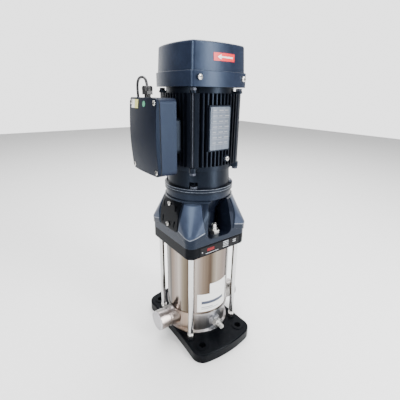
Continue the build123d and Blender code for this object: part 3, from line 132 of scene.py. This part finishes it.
def banded_steel(name, bands, roughness):
    """Polished steel with painted upright bands, in place of what a room would mirror in it.

    bands are (direction in degrees about Z, colour) pairs. The bands come twice round.
    """
    material = surface(name, (0.5, 0.5, 0.5), roughness, metallic=1.0, roughness_spread=0.04)
    nodes = material.node_tree.nodes
    links = material.node_tree.links
    shader = nodes["Principled BSDF"]
    place = nodes.new("ShaderNodeTexCoord")
    axes = nodes.new("ShaderNodeSeparateXYZ")
    links.new(place.outputs["Object"], axes.inputs["Vector"])
    turn = nodes.new("ShaderNodeMath")
    turn.operation = "ARCTAN2"
    links.new(axes.outputs["Y"], turn.inputs[0])
    links.new(axes.outputs["X"], turn.inputs[1])
    share = nodes.new("ShaderNodeMath")
    share.operation = "MULTIPLY_ADD"
    share.inputs[1].default_value = 1 / math.pi
    share.inputs[2].default_value = 2
    links.new(turn.outputs["Value"], share.inputs[0])
    repeat = nodes.new("ShaderNodeMath")
    repeat.operation = "FRACT"
    links.new(share.outputs["Value"], repeat.inputs[0])
    ramp = nodes.new("ShaderNodeValToRGB")
    stops = sorted(((degrees / 180) % 1, color) for degrees, color in bands)
    while len(ramp.color_ramp.elements) < len(stops):
        ramp.color_ramp.elements.new(0.5)
    for element, (position, color) in zip(ramp.color_ramp.elements, stops):
        element.position = position
        element.color = (*color, 1)
    links.new(repeat.outputs["Value"], ramp.inputs["Fac"])
    streaks = nodes.new("ShaderNodeTexNoise")
    streaks.inputs["Scale"].default_value = 260.0
    spread = nodes.new("ShaderNodeMapping")
    spread.inputs["Scale"].default_value = BRUSHED
    links.new(place.outputs["Object"], spread.inputs["Vector"])
    links.new(spread.outputs["Vector"], streaks.inputs["Vector"])
    mixed = nodes.new("ShaderNodeMix")
    mixed.data_type = "RGBA"
    mixed.blend_type = "SOFT_LIGHT"
    mixed.inputs["Factor"].default_value = 0.35
    links.new(ramp.outputs["Color"], mixed.inputs["A"])
    links.new(streaks.outputs["Fac"], mixed.inputs["B"])
    links.new(mixed.outputs["Result"], shader.inputs["Base Color"])
    return material


BRUSHED = (1.0, 1.0, 0.02)  # long upright streaks
SLEEVE_BANDS = (
    (-197, (0.040, 0.030, 0.021)),
    (-178, (0.14, 0.10, 0.075)),
    (-160, (0.34, 0.30, 0.27)),
    (-152, (0.18, 0.15, 0.11)),
    (-142, (0.079, 0.059, 0.045)),
    (-129, (0.34, 0.30, 0.27)),
    (-117, (0.17, 0.13, 0.099)),
    (-103, (0.063, 0.044, 0.031)),
    (-91, (0.24, 0.21, 0.17)),
    (-72, (0.14, 0.10, 0.084)),
    (-50, (0.040, 0.030, 0.021)),
)
CASING_BANDS = (
    (-200, (0.23, 0.22, 0.21)),
    (-178, (0.41, 0.37, 0.37)),
    (-164, (0.30, 0.25, 0.22)),
    (-150, (0.36, 0.27, 0.21)),
    (-138, (0.39, 0.32, 0.26)),
    (-125, (0.58, 0.54, 0.52)),
    (-100, (0.33, 0.33, 0.35)),
    (-85, (0.23, 0.24, 0.26)),
    (-60, (0.48, 0.46, 0.46)),
    (-30, (0.19, 0.17, 0.18)),
)
BLUE_SHEEN = (0.55, 0.72, 1.0)
FINISHES = {
    "cast_black": surface(
        "cast_black",
        (0.0025, 0.003, 0.004),
        0.22,
        grain=90,
        bump=0.12,
        bump_grain=350,
        specular=0.05,
        sheen_color=(0.85, 0.9, 1.0),
    ),
    "stool_black": surface(
        "stool_black",
        (0.004, 0.0055, 0.011),
        0.3,
        grain=70,
        bump=0.12,
        bump_grain=420,
        specular=0.24,
        sheen_color=BLUE_SHEEN,
    ),
    "frame_black": surface(
        "frame_black",
        (0.002, 0.0025, 0.0045),
        0.36,
        grain=80,
        bump=0.12,
        bump_grain=500,
        specular=0.22,
        sheen_color=BLUE_SHEEN,
    ),
    "cowl_blue": surface(
        "cowl_blue",
        (0.010, 0.0145, 0.029),
        0.34,
        grain=60,
        bump=0.08,
        bump_grain=900,
        specular=0.4,
        sheen_color=BLUE_SHEEN,
    ),
    "box_blue": surface(
        "box_blue",
        (0.006, 0.0085, 0.019),
        0.38,
        grain=60,
        bump=0.1,
        bump_grain=900,
        specular=0.22,
        sheen_color=BLUE_SHEEN,
    ),
    "stainless": surface(
        "stainless", (0.55, 0.56, 0.58), 0.36, metallic=1.0, grain=45, bump=0.1, bump_grain=700
    ),
    "sleeve_steel": banded_steel("sleeve_steel", SLEEVE_BANDS, 0.17),
    "stage_steel": surface("stage_steel", (0.5, 0.5, 0.5), 0.35, metallic=1.0),
    "bright_steel": surface(
        "bright_steel", (0.62, 0.62, 0.62), 0.22, metallic=1.0, grain=200, stretch=BRUSHED
    ),
    "zinc_steel": surface("zinc_steel", (0.68, 0.67, 0.64), 0.3, metallic=1.0, grain=300),
    "plug_steel": surface("plug_steel", (0.62, 0.62, 0.6), 0.3, metallic=1.0, grain=200),
    "cap_grey": surface("cap_grey", (0.43, 0.42, 0.44), 0.5, variation=0.05, bump=0.1),
    "black_rubber": surface("black_rubber", (0.012, 0.012, 0.012), 0.7, bump=0.2),
    "seal_carbon": surface("seal_carbon", (0.03, 0.03, 0.03), 0.4),
    "coupling_iron": surface("coupling_iron", (0.1, 0.1, 0.1), 0.45, metallic=0.6, bump=0.2),
    "core_steel": surface("core_steel", (0.25, 0.25, 0.25), 0.5, metallic=0.8),
    "copper": surface("copper", (0.5, 0.22, 0.09), 0.35, metallic=0.7, grain=300),
    "black_plastic": surface("black_plastic", (0.014, 0.014, 0.016), 0.42, bump=0.15),
    "lead_black": surface("lead_black", (0.012, 0.012, 0.014), 0.45, grain=150, bump=0.1),
    "plate_silver": surface(
        "plate_silver", (0.15, 0.175, 0.215), 0.3, metallic=0.9, grain=300, stretch=BRUSHED
    ),
}
CASING_STEEL = banded_steel("casing_steel", CASING_BANDS, 0.3)
DARK_STEEL = surface("dark_steel", (0.045, 0.05, 0.065), 0.35, metallic=0.8, grain=200)
# lighter than the stool's own black: painted highlight on the faces of the stool's corners
FACET_HIGHLIGHT_BLUE = surface(
    "painted_facet_highlight",
    (0.028, 0.037, 0.062),
    0.32,
    grain=50,
    variation=0.2,
    specular=0.3,
    sheen_color=BLUE_SHEEN,
)
# the box's blue darkened: painted shade on the lid, which faces away from the light
LID_BLUE_SHADED = surface(
    "lid_blue_painted_shade", (0.004, 0.006, 0.013), 0.36, grain=60, specular=0.1, sheen_color=BLUE_SHEEN
)
# pale grey-blue: painted highlight along the stool's corner edges and the flange's rim
EDGE_HIGHLIGHT = surface("painted_edge_highlight", (0.13, 0.15, 0.19), 0.3, grain=120, variation=0.3)
WHITE_FILM = surface("white_film", (0.72, 0.72, 0.71), 0.35, variation=0.04)
RED_FILM = surface("red_film", (0.62, 0.02, 0.025), 0.35, variation=0.08)
DARK_RED_FILM = surface("dark_red_film", (0.16, 0.008, 0.012), 0.35, specular=0.15)
SLATE_FILM = surface("slate_film", (0.03, 0.04, 0.07), 0.4, variation=0.1)
GREY_FILM = surface("grey_film", (0.25, 0.26, 0.28), 0.45, variation=0.1)
DARK_FILM = surface("dark_film", (0.003, 0.003, 0.004), 0.3, variation=0.1, specular=0.12)
PALE_FILM = surface("pale_film", (0.42, 0.44, 0.47), 0.45, variation=0.1)
GREEN_FILM = surface("green_film", (0.06, 0.28, 0.16), 0.4, variation=0.1)
YELLOW_FILM = surface("yellow_film", (0.62, 0.60, 0.18), 0.4, variation=0.08)
# near black: painted shade in place of the hollow of the screws' cross recesses
CROSS_SHADE = surface("recess", (0.01, 0.01, 0.01), 0.6, variation=0.1)


OWN_FINISHES = {
    "tie_bolts": DARK_STEEL,
    "lid_screws": DARK_STEEL,
    # a darker copy of the box's blue, as painted shade
    "terminal_lid": LID_BLUE_SHADED,
    "pump_casing": CASING_STEEL,
    "flange_bolts": DARK_STEEL,
    "drive_end_shield": FINISHES["frame_black"],
    "coupling_guard_left": FINISHES["cast_black"],
    "coupling_guard_right": FINISHES["cast_black"],
}


def dress_cad_nodes():
    """Give each CAD node the finish of its material slot."""
    slots = {entry["node"]: entry["material_slot"] for entry in frame["record"]["subparts"]}
    for node, slot_name in slots.items():
        piece = bpy.data.objects[node]
        piece.data.materials.clear()
        piece.data.materials.append(OWN_FINISHES.get(node, FINISHES[slot_name]))


# ---------------------------------------------------------------- building pieces
def add_piece(name, mesh, material, body=HOUSING):
    """Put a finished mesh in the scene, riding on a body."""
    piece = bpy.data.objects.new(name, mesh)
    bpy.context.collection.objects.link(piece)
    piece.data.materials.append(material)
    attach(piece, body)
    return piece


def middle_and_size(node):
    """A node's centre and size."""
    low, high = (Vector(corner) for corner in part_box(node))
    return (low + high) / 2, high - low


# ---------------------------------------------------------------- camera, floor and light
CAMERA_PLACE = Vector((-0.3370, -0.4592, 0.5212))
CAMERA_PITCH = math.radians(20.24)  # below the horizon
CAMERA_AZIMUTH = math.radians(-36.62)
CAMERA_ROLL = math.radians(0.93)
LENS = 26.1  # on a 36 mm sensor


# name, place, the point it is turned to, width and height, watts
PANELS = (
    ("key", (0.5, -1.3, 0.8), (0, 0, 0.3), (0.35, 1.6), 40),
    ("side", (-1.3, -0.6, 0.8), (0, 0, 0.3), (0.2, 1.6), 11),
    ("corner", (-1.05, -0.75, 1.1), (0, 0, 0.3), (0.5, 0.5), 15),
    ("top", (0.4, 0.5, 2.2), (0.3, 0.4, 0), (2.0, 2.0), 130),
)
DIM_SIDE = 0.2  # the world's strength behind the camera
BRIGHT_SIDE = 2.6  # the world's strength behind the pump


def add_camera():
    camera = bpy.data.objects.new("camera", bpy.data.cameras.new("camera"))
    bpy.context.collection.objects.link(camera)
    camera.data.lens = LENS
    camera.data.sensor_width = 36
    aim = Matrix.Rotation(CAMERA_AZIMUTH, 4, "Z")
    tilt = Matrix.Rotation(math.pi / 2 - CAMERA_PITCH, 4, "X")
    roll = Matrix.Rotation(CAMERA_ROLL, 4, "Z")
    camera.matrix_world = Matrix.Translation(CAMERA_PLACE) @ aim @ tilt @ roll
    bpy.context.scene.camera = camera


def add_floor():
    mesh = bpy.data.meshes.new("floor")
    builder = bmesh.new()
    bmesh.ops.create_grid(builder, x_segments=8, y_segments=8, size=4)
    builder.to_mesh(mesh)
    builder.free()
    floor = bpy.data.objects.new("floor", mesh)
    bpy.context.collection.objects.link(floor)
    floor.data.materials.append(surface("pale_floor", (0.82, 0.82, 0.82), 0.7, variation=0.01))


def add_panel(name, place, aim, size, power):
    """A rectangular soft light at a place, turned towards a point."""
    light = bpy.data.lights.new(name, "AREA")
    light.shape = "RECTANGLE"
    light.size, light.size_y = size
    light.energy = power
    lamp = bpy.data.objects.new(name, light)
    bpy.context.collection.objects.link(lamp)
    toward = Vector(aim) - Vector(place)
    turn = toward.to_track_quat("-Z", "Y").to_matrix().to_4x4()
    lamp.matrix_world = Matrix.Translation(place) @ turn


def add_light():
    """A studio that is bright behind the pump and dim behind the camera, with soft panels."""
    world = bpy.data.worlds.new("studio")
    bpy.context.scene.world = world
    world.use_nodes = True
    nodes = world.node_tree.nodes
    links = world.node_tree.links
    way = nodes.new("ShaderNodeTexCoord")
    backward = nodes.new("ShaderNodeVectorMath")
    backward.operation = "DOT_PRODUCT"
    backward.inputs[1].default_value = (math.sin(-CAMERA_AZIMUTH), math.cos(CAMERA_AZIMUTH), 0)
    level = nodes.new("ShaderNodeMapRange")
    level.inputs["From Min"].default_value = 0.3
    level.inputs["From Max"].default_value = 0.8
    level.inputs["To Min"].default_value = DIM_SIDE
    level.inputs["To Max"].default_value = BRIGHT_SIDE
    links.new(way.outputs["Generated"], backward.inputs[0])
    links.new(backward.outputs["Value"], level.inputs["Value"])
    links.new(level.outputs["Result"], nodes["Background"].inputs["Strength"])
    nodes["Background"].inputs["Color"].default_value = (1, 1, 1, 1)
    for panel in PANELS:
        add_panel(*panel)


# ---------------------------------------------------------------- surfaces of CAD nodes
def tree_of(node):
    """A search tree of a node's mesh, for laying stickers on it."""
    piece = bpy.data.objects[node]
    return BVHTree.FromPolygons(
        [piece.matrix_world @ vertex.co for vertex in piece.data.vertices],
        [polygon.vertices[:] for polygon in piece.data.polygons],
    )


def patch(name, node, rays, material, lift=SKIN):
    """A thin film laid on a node. rays is a grid of (start, direction) pairs."""
    tree = tree_of(node)
    builder = bmesh.new()
    rows = []
    for row in rays:
        points = []
        for start, direction in row:
            hit = tree.ray_cast(Vector(start), Vector(direction))[0]
            points.append(builder.verts.new(hit - Vector(direction) * lift))
        rows.append(points)
    for low, high in zip(rows, rows[1:]):
        for a, b, c, d in zip(low, low[1:], high[1:], high):
            builder.faces.new((a, b, c, d))
    mesh = bpy.data.meshes.new(name)
    builder.to_mesh(mesh)
    builder.free()
    piece = add_piece(name, mesh, material)
    shell = piece.modifiers.new("thickness", "SOLIDIFY")
    shell.thickness = lift
    shell.offset = 0
    return piece


def spaced(low, high, count):
    return [low + (high - low) * index / count for index in range(count + 1)]


def front_rays(x_range, z_range, steps=(12, 4)):
    """Rays towards +Y over a rectangle seen from the front."""
    return [
        [((x, -OUTSIDE, z), (0, 1, 0)) for x in spaced(*x_range, steps[0])]
        for z in spaced(*z_range, steps[1])
    ]


def side_rays(y_range, z_range, steps=(6, 6)):
    """Rays towards +X over a rectangle seen from the terminal box side."""
    return [
        [((-OUTSIDE, y, z), (1, 0, 0)) for y in spaced(*y_range, steps[0])]
        for z in spaced(*z_range, steps[1])
    ]


def round_rays(turn_range, z_range, steps=(20, 4)):
    """Rays towards the shaft axis over a stretch of a cylinder, in degrees about Z."""
    rows = []
    for z in spaced(*z_range, steps[1]):
        row = []
        for turn in spaced(*turn_range, steps[0]):
            out = Vector((math.cos(math.radians(turn)), math.sin(math.radians(turn)), 0))
            row.append((out * OUTSIDE + Vector((0, 0, z)), -out))
        rows.append(row)
    return rows


def add_sleeve_label():
    """A blank stepped label, with plain bars where its print would be."""
    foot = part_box("outer_sleeve")[0][2] + 5 * MM
    step = foot + 45 * MM
    halves = (("low", -126, (foot, step)), ("high", -103, (step, step + 24 * MM)))
    for half, start, height in halves:
        rays = round_rays((start, -62), height)
        patch(f"sleeve_label_{half}", "outer_sleeve", rays, WHITE_FILM)
    # each bar's start and end in degrees, and its foot and top above the label's foot in mm
    bars = ((-118, -72, 20, 27), (-118, -96, 11, 13), (-118, -84, 7, 8.5))
    for index, (start, end, low_bar, high_bar) in enumerate(bars):
        patch(
            f"sleeve_label_bar_{index}",
            "outer_sleeve",
            round_rays((start, end), (foot + low_bar * MM, foot + high_bar * MM), (16, 1)),
            SLATE_FILM if index == 0 else GREY_FILM,
            lift=OVERLAY,
        )


def add_arrow_sticker():
    """The red turning direction sticker, with a white arrow that points left."""
    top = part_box("fan_cover")[1][2]
    middle = top - 22 * MM
    patch(
        "arrow_sticker",
        "fan_cover",
        front_rays((-20 * MM, 24.5 * MM), (middle - 6 * MM, middle + 6 * MM)),
        RED_FILM,
    )
    patch(
        "arrow_shaft",
        "fan_cover",
        front_rays((-6 * MM, 20 * MM), (middle - 1.2 * MM, middle + 1.2 * MM), (10, 1)),
        WHITE_FILM,
        lift=OVERLAY,
    )
    tip, wide = -13 * MM, -5 * MM
    rows = []
    for share in spaced(-1, 1, 8):
        start = tip + (wide - tip) * abs(share)
        height = middle + share * 3.8 * MM
        rows.append([((x, -OUTSIDE, height), (0, 1, 0)) for x in spaced(start, wide, 6)])
    patch("arrow_head", "fan_cover", rows, WHITE_FILM, lift=OVERLAY)


def add_lid_stickers():
    """Blank white and yellow stickers and a green dot on the lid."""
    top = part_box("terminal_lid")[1][2]
    height = (top - 17 * MM, top - 3 * MM)
    for color, start, film in (("white", 24 * MM, WHITE_FILM), ("yellow", 10 * MM, YELLOW_FILM)):
        rays = side_rays((start, start + 14 * MM), height)
        patch(f"lid_sticker_{color}", "terminal_lid", rays, film)
    centre = (-11 * MM, top - 9.5 * MM)
    radius = 4.6 * MM
    rows = []
    for share in spaced(-0.98, 0.98, 10):
        half = radius * math.sqrt(1 - share**2)
        rows.append(
            [
                ((-OUTSIDE, y, centre[1] + share * radius), (1, 0, 0))
                for y in spaced(centre[0] - half, centre[0] + half, 6)
            ]
        )
    patch("lid_dot", "terminal_lid", rows, GREEN_FILM)


def add_head_strip():
    """The dark strip on the pump head, with a red block and pale bars for its print, and one pale
    bar that is a painted highlight.
    """
    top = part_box("pump_head")[1][2]
    face = "pump_head"
    patch(
        "head_strip",
        face,
        front_rays((-46 * MM, 52 * MM), (top - 20 * MM, top - 4 * MM), (4, 1)),
        DARK_FILM,
    )
    patch(
        "head_strip_block",
        face,
        front_rays((-30 * MM, -13 * MM), (top - 13.5 * MM, top - 7.5 * MM), (2, 1)),
        DARK_RED_FILM,
        lift=OVERLAY,
    )
    # pale marks: four rows, two rows, a long thin bar and a dot. The long thin bar is a painted
    # highlight near the strip's lower edge. Each has its left and right end, its foot's drop
    # below the head's top, and its height, in mm.
    marks = [(10, 24, 17 - 3.6 * row, 1.6) for row in range(4)]
    marks += [(36, 44, 13 - 4 * row, 1.8) for row in range(2)]
    # the long thin bar here is a painted highlight
    marks += [(-34, -2, 18.2, 0.9), (-43, -41, 14, 2.0)]
    for index, (start, end, drop, height) in enumerate(marks):
        foot = top - drop * MM
        rays = front_rays((start * MM, end * MM), (foot, foot + height * MM), (3, 1))
        name = f"head_strip_mark_{index}"
        patch(name, face, rays, PALE_FILM, lift=OVERLAY)


def add_nameplate_print():
    """Plain rules and bars on the motor plate, in place of its print."""
    low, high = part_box("nameplate")
    left, right, foot, top = low[0], high[0], low[2], high[2]
    width, height = right - left, top - foot
    rules = 8
    for index in range(1, rules):
        level = foot + height * index / rules
        patch(
            f"plate_rule_{index}",
            "nameplate",
            front_rays((left + 3 * MM, right - 3 * MM), (level, level + 0.5 * MM), (1, 1)),
            GREY_FILM,
        )
        for column, share in enumerate((0.12, 0.42, 0.72)):
            start = left + width * share
            long = width * (0.16 if (index + column) % 2 else 0.22)
            patch(
                f"plate_bar_{index}_{column}",
                "nameplate",
                front_rays((start, start + long), (level + 2.6 * MM, level + 4.2 * MM), (1, 1)),
                GREY_FILM,
            )


def add_corner_facets():
    """Lighter faces of painted highlight on the stool's four corners, each with a painted
    highlight along its lower edge.
    """
    stool_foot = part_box("motor_stool")[0][2]
    foot = stool_foot + 29 * MM
    top = stool_foot + 80 * MM
    for index, turn in enumerate((-135, -45, 45, 135)):
        out = Vector((math.cos(math.radians(turn)), math.sin(math.radians(turn)), 0))
        across = Vector((-out.y, out.x, 0))

        # 26 mm half wide at its foot and 16 mm at its top, with a 9 mm point below
        rows = []
        for rise in spaced(0, 1, 18):
            half = (26 - 10 * rise) * MM
            row = []
            for share in spaced(-1, 1, 26):
                point = 9 * MM * (1 - abs(share)) * (1 - rise)
                level = foot + (top - foot) * rise - point
                start = out * OUTSIDE + across * half * share + Vector((0, 0, level))
                row.append((start, -out))
            rows.append(row)
        name = f"corner_facet_{index}"
        patch(name, "motor_stool", rows, FACET_HIGHLIGHT_BLUE, lift=FACE_LIFT)
        # the painted edge highlight follows the foot of the face
        edge = [
            [(start - Vector((0, 0, drop)), way) for start, way in rows[0]]
            for drop in (1.9 * MM, 0.2 * MM)
        ]
        name = f"corner_edge_{index}"
        patch(name, "motor_stool", edge, EDGE_HIGHLIGHT, lift=FACE_LIFT)


def add_lip_lines():
    """Two thin pale lines of painted highlight round the rim of the motor's flange."""
    flange_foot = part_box("motor_stool")[1][2]
    radius = 68.5 * MM
    for index, height in enumerate((flange_foot + 4.5 * MM, flange_foot + 9.4 * MM)):
        profile = [
            (radius - 0.3 * MM, height),
            (radius + 0.04 * MM, height),
            (radius + 0.04 * MM, height + 0.7 * MM),
            (radius - 0.3 * MM, height + 0.7 * MM),
        ]
        name = f"lip_line_{index}"
        line = turned_mesh(name, profile, 96, ring=True)
        add_piece(name, line, EDGE_HIGHLIGHT)


# ---------------------------------------------------------------- turned details
def turned_mesh(name, profile, steps=32, place=Matrix.Identity(4), ring=False):
    """A surface of revolution about Z from (radius, height) points, put at a place.

    Its ends are closed by discs, or for a ring its last point is joined to its first.
    """
    builder = bmesh.new()
    rings = []
    for radius, height in profile:
        ring = []
        for step in range(steps):
            angle = 2 * math.pi * step / steps
            spot = Vector((radius * math.cos(angle), radius * math.sin(angle), height))
            ring.append(builder.verts.new(place @ spot))
        rings.append(ring)
    for low, high in zip(rings, rings[1:] + rings[:1] if ring else rings[1:]):
        for index in range(steps):
            after = (index + 1) % steps
            builder.faces.new((low[index], low[after], high[after], high[index]))
    if not ring:
        builder.faces.new(list(reversed(rings[0])))
        builder.faces.new(rings[-1])
    mesh = bpy.data.meshes.new(name)
    builder.to_mesh(mesh)
    builder.free()
    mesh.shade_smooth()
    return mesh


def facing(place, direction):
    """A frame at a place whose Z points along a direction."""
    turn = Vector(direction).to_track_quat("Z", "Y").to_matrix().to_4x4()
    return Matrix.Translation(place) @ turn


def islands(node):
    """The lowest and highest corner of each separate solid of a node."""
    mesh = bpy.data.objects[node].data
    builder = bmesh.new()
    builder.from_mesh(mesh)
    bmesh.ops.remove_doubles(builder, verts=builder.verts, dist=1e-6)
    left = set(builder.verts)
    found = []
    while left:
        stack = [left.pop()]
        group = []
        while stack:
            vertex = stack.pop()
            group.append(vertex.co.copy())
            for edge in vertex.link_edges:
                other = edge.other_vert(vertex)
                if other in left:
                    left.remove(other)
                    stack.append(other)
        low = Vector([min(point[axis] for point in group) for axis in range(3)])
        high = Vector([max(point[axis] for point in group) for axis in range(3)])
        found.append((low, high))
    builder.free()
    return sorted(found, key=lambda pair: tuple(pair[0]))


def screw_crown(name, place, direction, radius):
    """A domed crown on top of a plain screw head, with a dark cross of painted shade for its
    cross recess.
    """
    height = radius * 0.3
    frame_here = facing(place, direction)
    profile = [
        (radius * math.cos(angle), height * math.sin(angle))
        for angle in spaced(0, math.radians(84), 6)
    ]
    crown = turned_mesh(name, profile, 28, frame_here)
    add_piece(name, crown, FINISHES["zinc_steel"])
    builder = bmesh.new()
    for long_side, short_side in ((0.62, 0.14), (0.14, 0.62)):
        size = Matrix.Diagonal((2 * radius * long_side, 2 * radius * short_side, height * 0.3, 1))
        spot = frame_here @ Matrix.Translation((0, 0, height)) @ size
        bmesh.ops.create_cube(builder, size=1, matrix=spot)
    bmesh.ops.bevel(builder, geom=builder.edges, offset=radius * 0.02, segments=1)
    cross = bpy.data.meshes.new(f"{name}_cross")
    builder.to_mesh(cross)
    builder.free()
    add_piece(f"{name}_cross", cross, CROSS_SHADE)


def crown_on(name, low, high, axis, side):
    """A crown on the outer end of a screw head whose shank lies along X (0) or Y (1)."""
    place = (low + high) / 2
    place[axis] = high[axis] if side > 0 else low[axis]
    direction = Vector((0, 0, 0))
    direction[axis] = side
    across = 1 - axis
    screw_crown(name, place, direction, (high[across] - low[across]) / 2)


def add_screw_crowns():
    """Crowns on the screws of the cowl, the lid, the guards and the earth terminal."""
    for group, axis in (("cowl", 1), ("lid", 0), ("guard", 0)):
        for index, (low, high) in enumerate(islands(f"{group}_screws")):
            side = -1 if low[axis] + high[axis] < 0 else 1
            crown_on(f"{group}_screw_crown_{index}", low, high, axis, side)
    low, high = (Vector(corner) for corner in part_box("earth_screw"))
    crown_on("earth_screw_crown", low, high, 1, -1)


def add_stay_threads():
    """Thread ridges on the lower ends of the four stay bolts."""
    plate_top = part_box("base_plate")[1][2]
    pitch = 1.75 * MM
    ridges = 7
    for number in range(1, 5):
        middle, size = middle_and_size(f"stay_bolt_{number}")
        radius = size.x / 2
        profile = []
        for ridge in range(ridges):
            foot = ridge * pitch
            profile.append((radius + 0.02 * MM, foot))
            profile.append((radius + 0.35 * MM, foot + pitch / 2))
        profile.append((radius + 0.02 * MM, ridges * pitch))
        place = Matrix.Translation((middle.x, middle.y, plate_top + 0.5 * MM))
        name = f"stay_thread_{number}"
        thread = turned_mesh(name, profile, 28, place)
        add_piece(name, thread, FINISHES["zinc_steel"])


def add_cap_faces():
    """A fine raised rim on each port cap."""
    for node, side in (("inlet_cap", -1), ("outlet_cap", 1)):
        middle, size = middle_and_size(node)
        low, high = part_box(node)
        face = low[0] if side < 0 else high[0]
        outer = size.y / 2 * 0.80
        inner = size.y / 2 * 0.72
        foot, top = -0.05 * MM, 0.02 * MM
        place = facing((face, middle.y, middle.z), (side, 0, 0))
        profile = [(outer, foot), (outer, top), (inner, top), (inner, foot)]
        name = f"{node}_face"
        rim = turned_mesh(name, profile, 48, place, ring=True)
        add_piece(name, rim, FINISHES["cap_grey"], body=node)


def add_gland_ribs():
    """Grip ribs round the nut of the cable gland."""
    middle, size = middle_and_size("cable_gland")
    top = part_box("cable_gland")[1][2]
    ribs = 16
    radius = 8.6 * MM
    builder = bmesh.new()
    for rib in range(ribs):
        angle = 2 * math.pi * rib / ribs
        turn = Matrix.Rotation(angle, 4, "Z")
        spot = Matrix.Translation((middle.x, middle.y, top - 5 * MM))
        size_here = Matrix.Diagonal((0.8 * MM, 1.3 * MM, 5.2 * MM, 1))
        place = spot @ turn @ Matrix.Translation((radius, 0, 0)) @ size_here
        bmesh.ops.create_cube(builder, size=1, matrix=place)
    bmesh.ops.bevel(builder, geom=builder.edges, offset=0.15 * MM, segments=2)
    mesh = bpy.data.meshes.new("gland_ribs")
    builder.to_mesh(mesh)
    builder.free()
    add_piece("gland_ribs", mesh, FINISHES["black_plastic"])


# ---------------------------------------------------------------- the lead
def add_lead():
    """The black lead that arches out of the gland and drops behind the box."""
    gland_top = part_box("cable_gland")[1][2]
    elbow_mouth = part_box("lead_elbow")[1][2]
    route = [
        (-0.0985, 0.0160, gland_top - 0.0085),
        (-0.0985, 0.0160, gland_top + 0.0046),
        (-0.0985, 0.0254, gland_top + 0.0140),
        (-0.0985, 0.0451, gland_top + 0.0140),
        (-0.0985, 0.0545, gland_top + 0.0046),
        (-0.09745, 0.0564, gland_top - 0.0150),
        (-0.0964, 0.0545, elbow_mouth + 0.0140),
        (-0.0964, 0.0545, elbow_mouth - 0.0050),
    ]
    curve = bpy.data.curves.new("lead", "CURVE")
    curve.dimensions = "3D"
    spline = curve.splines.new("NURBS")
    spline.points.add(len(route) - 1)
    for point, place in zip(spline.points, route):
        point.co = (*place, 1)
    spline.order_u = 3
    spline.use_endpoint_u = True
    spline.resolution_u = 16
    curve.bevel_depth = 2.25 * MM
    curve.bevel_resolution = 6
    lead = bpy.data.objects.new("lead", curve)
    bpy.context.collection.objects.link(lead)
    curve.materials.append(FINISHES["lead_black"])
    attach(lead, HOUSING)
    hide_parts("motor_lead")


dress_cad_nodes()
add_camera()
add_floor()
add_light()
add_lead()
add_sleeve_label()
add_arrow_sticker()
add_lid_stickers()
add_head_strip()
add_nameplate_print()
add_corner_facets()
add_lip_lines()
add_screw_crowns()
add_stay_threads()
add_cap_faces()
add_gland_ribs()
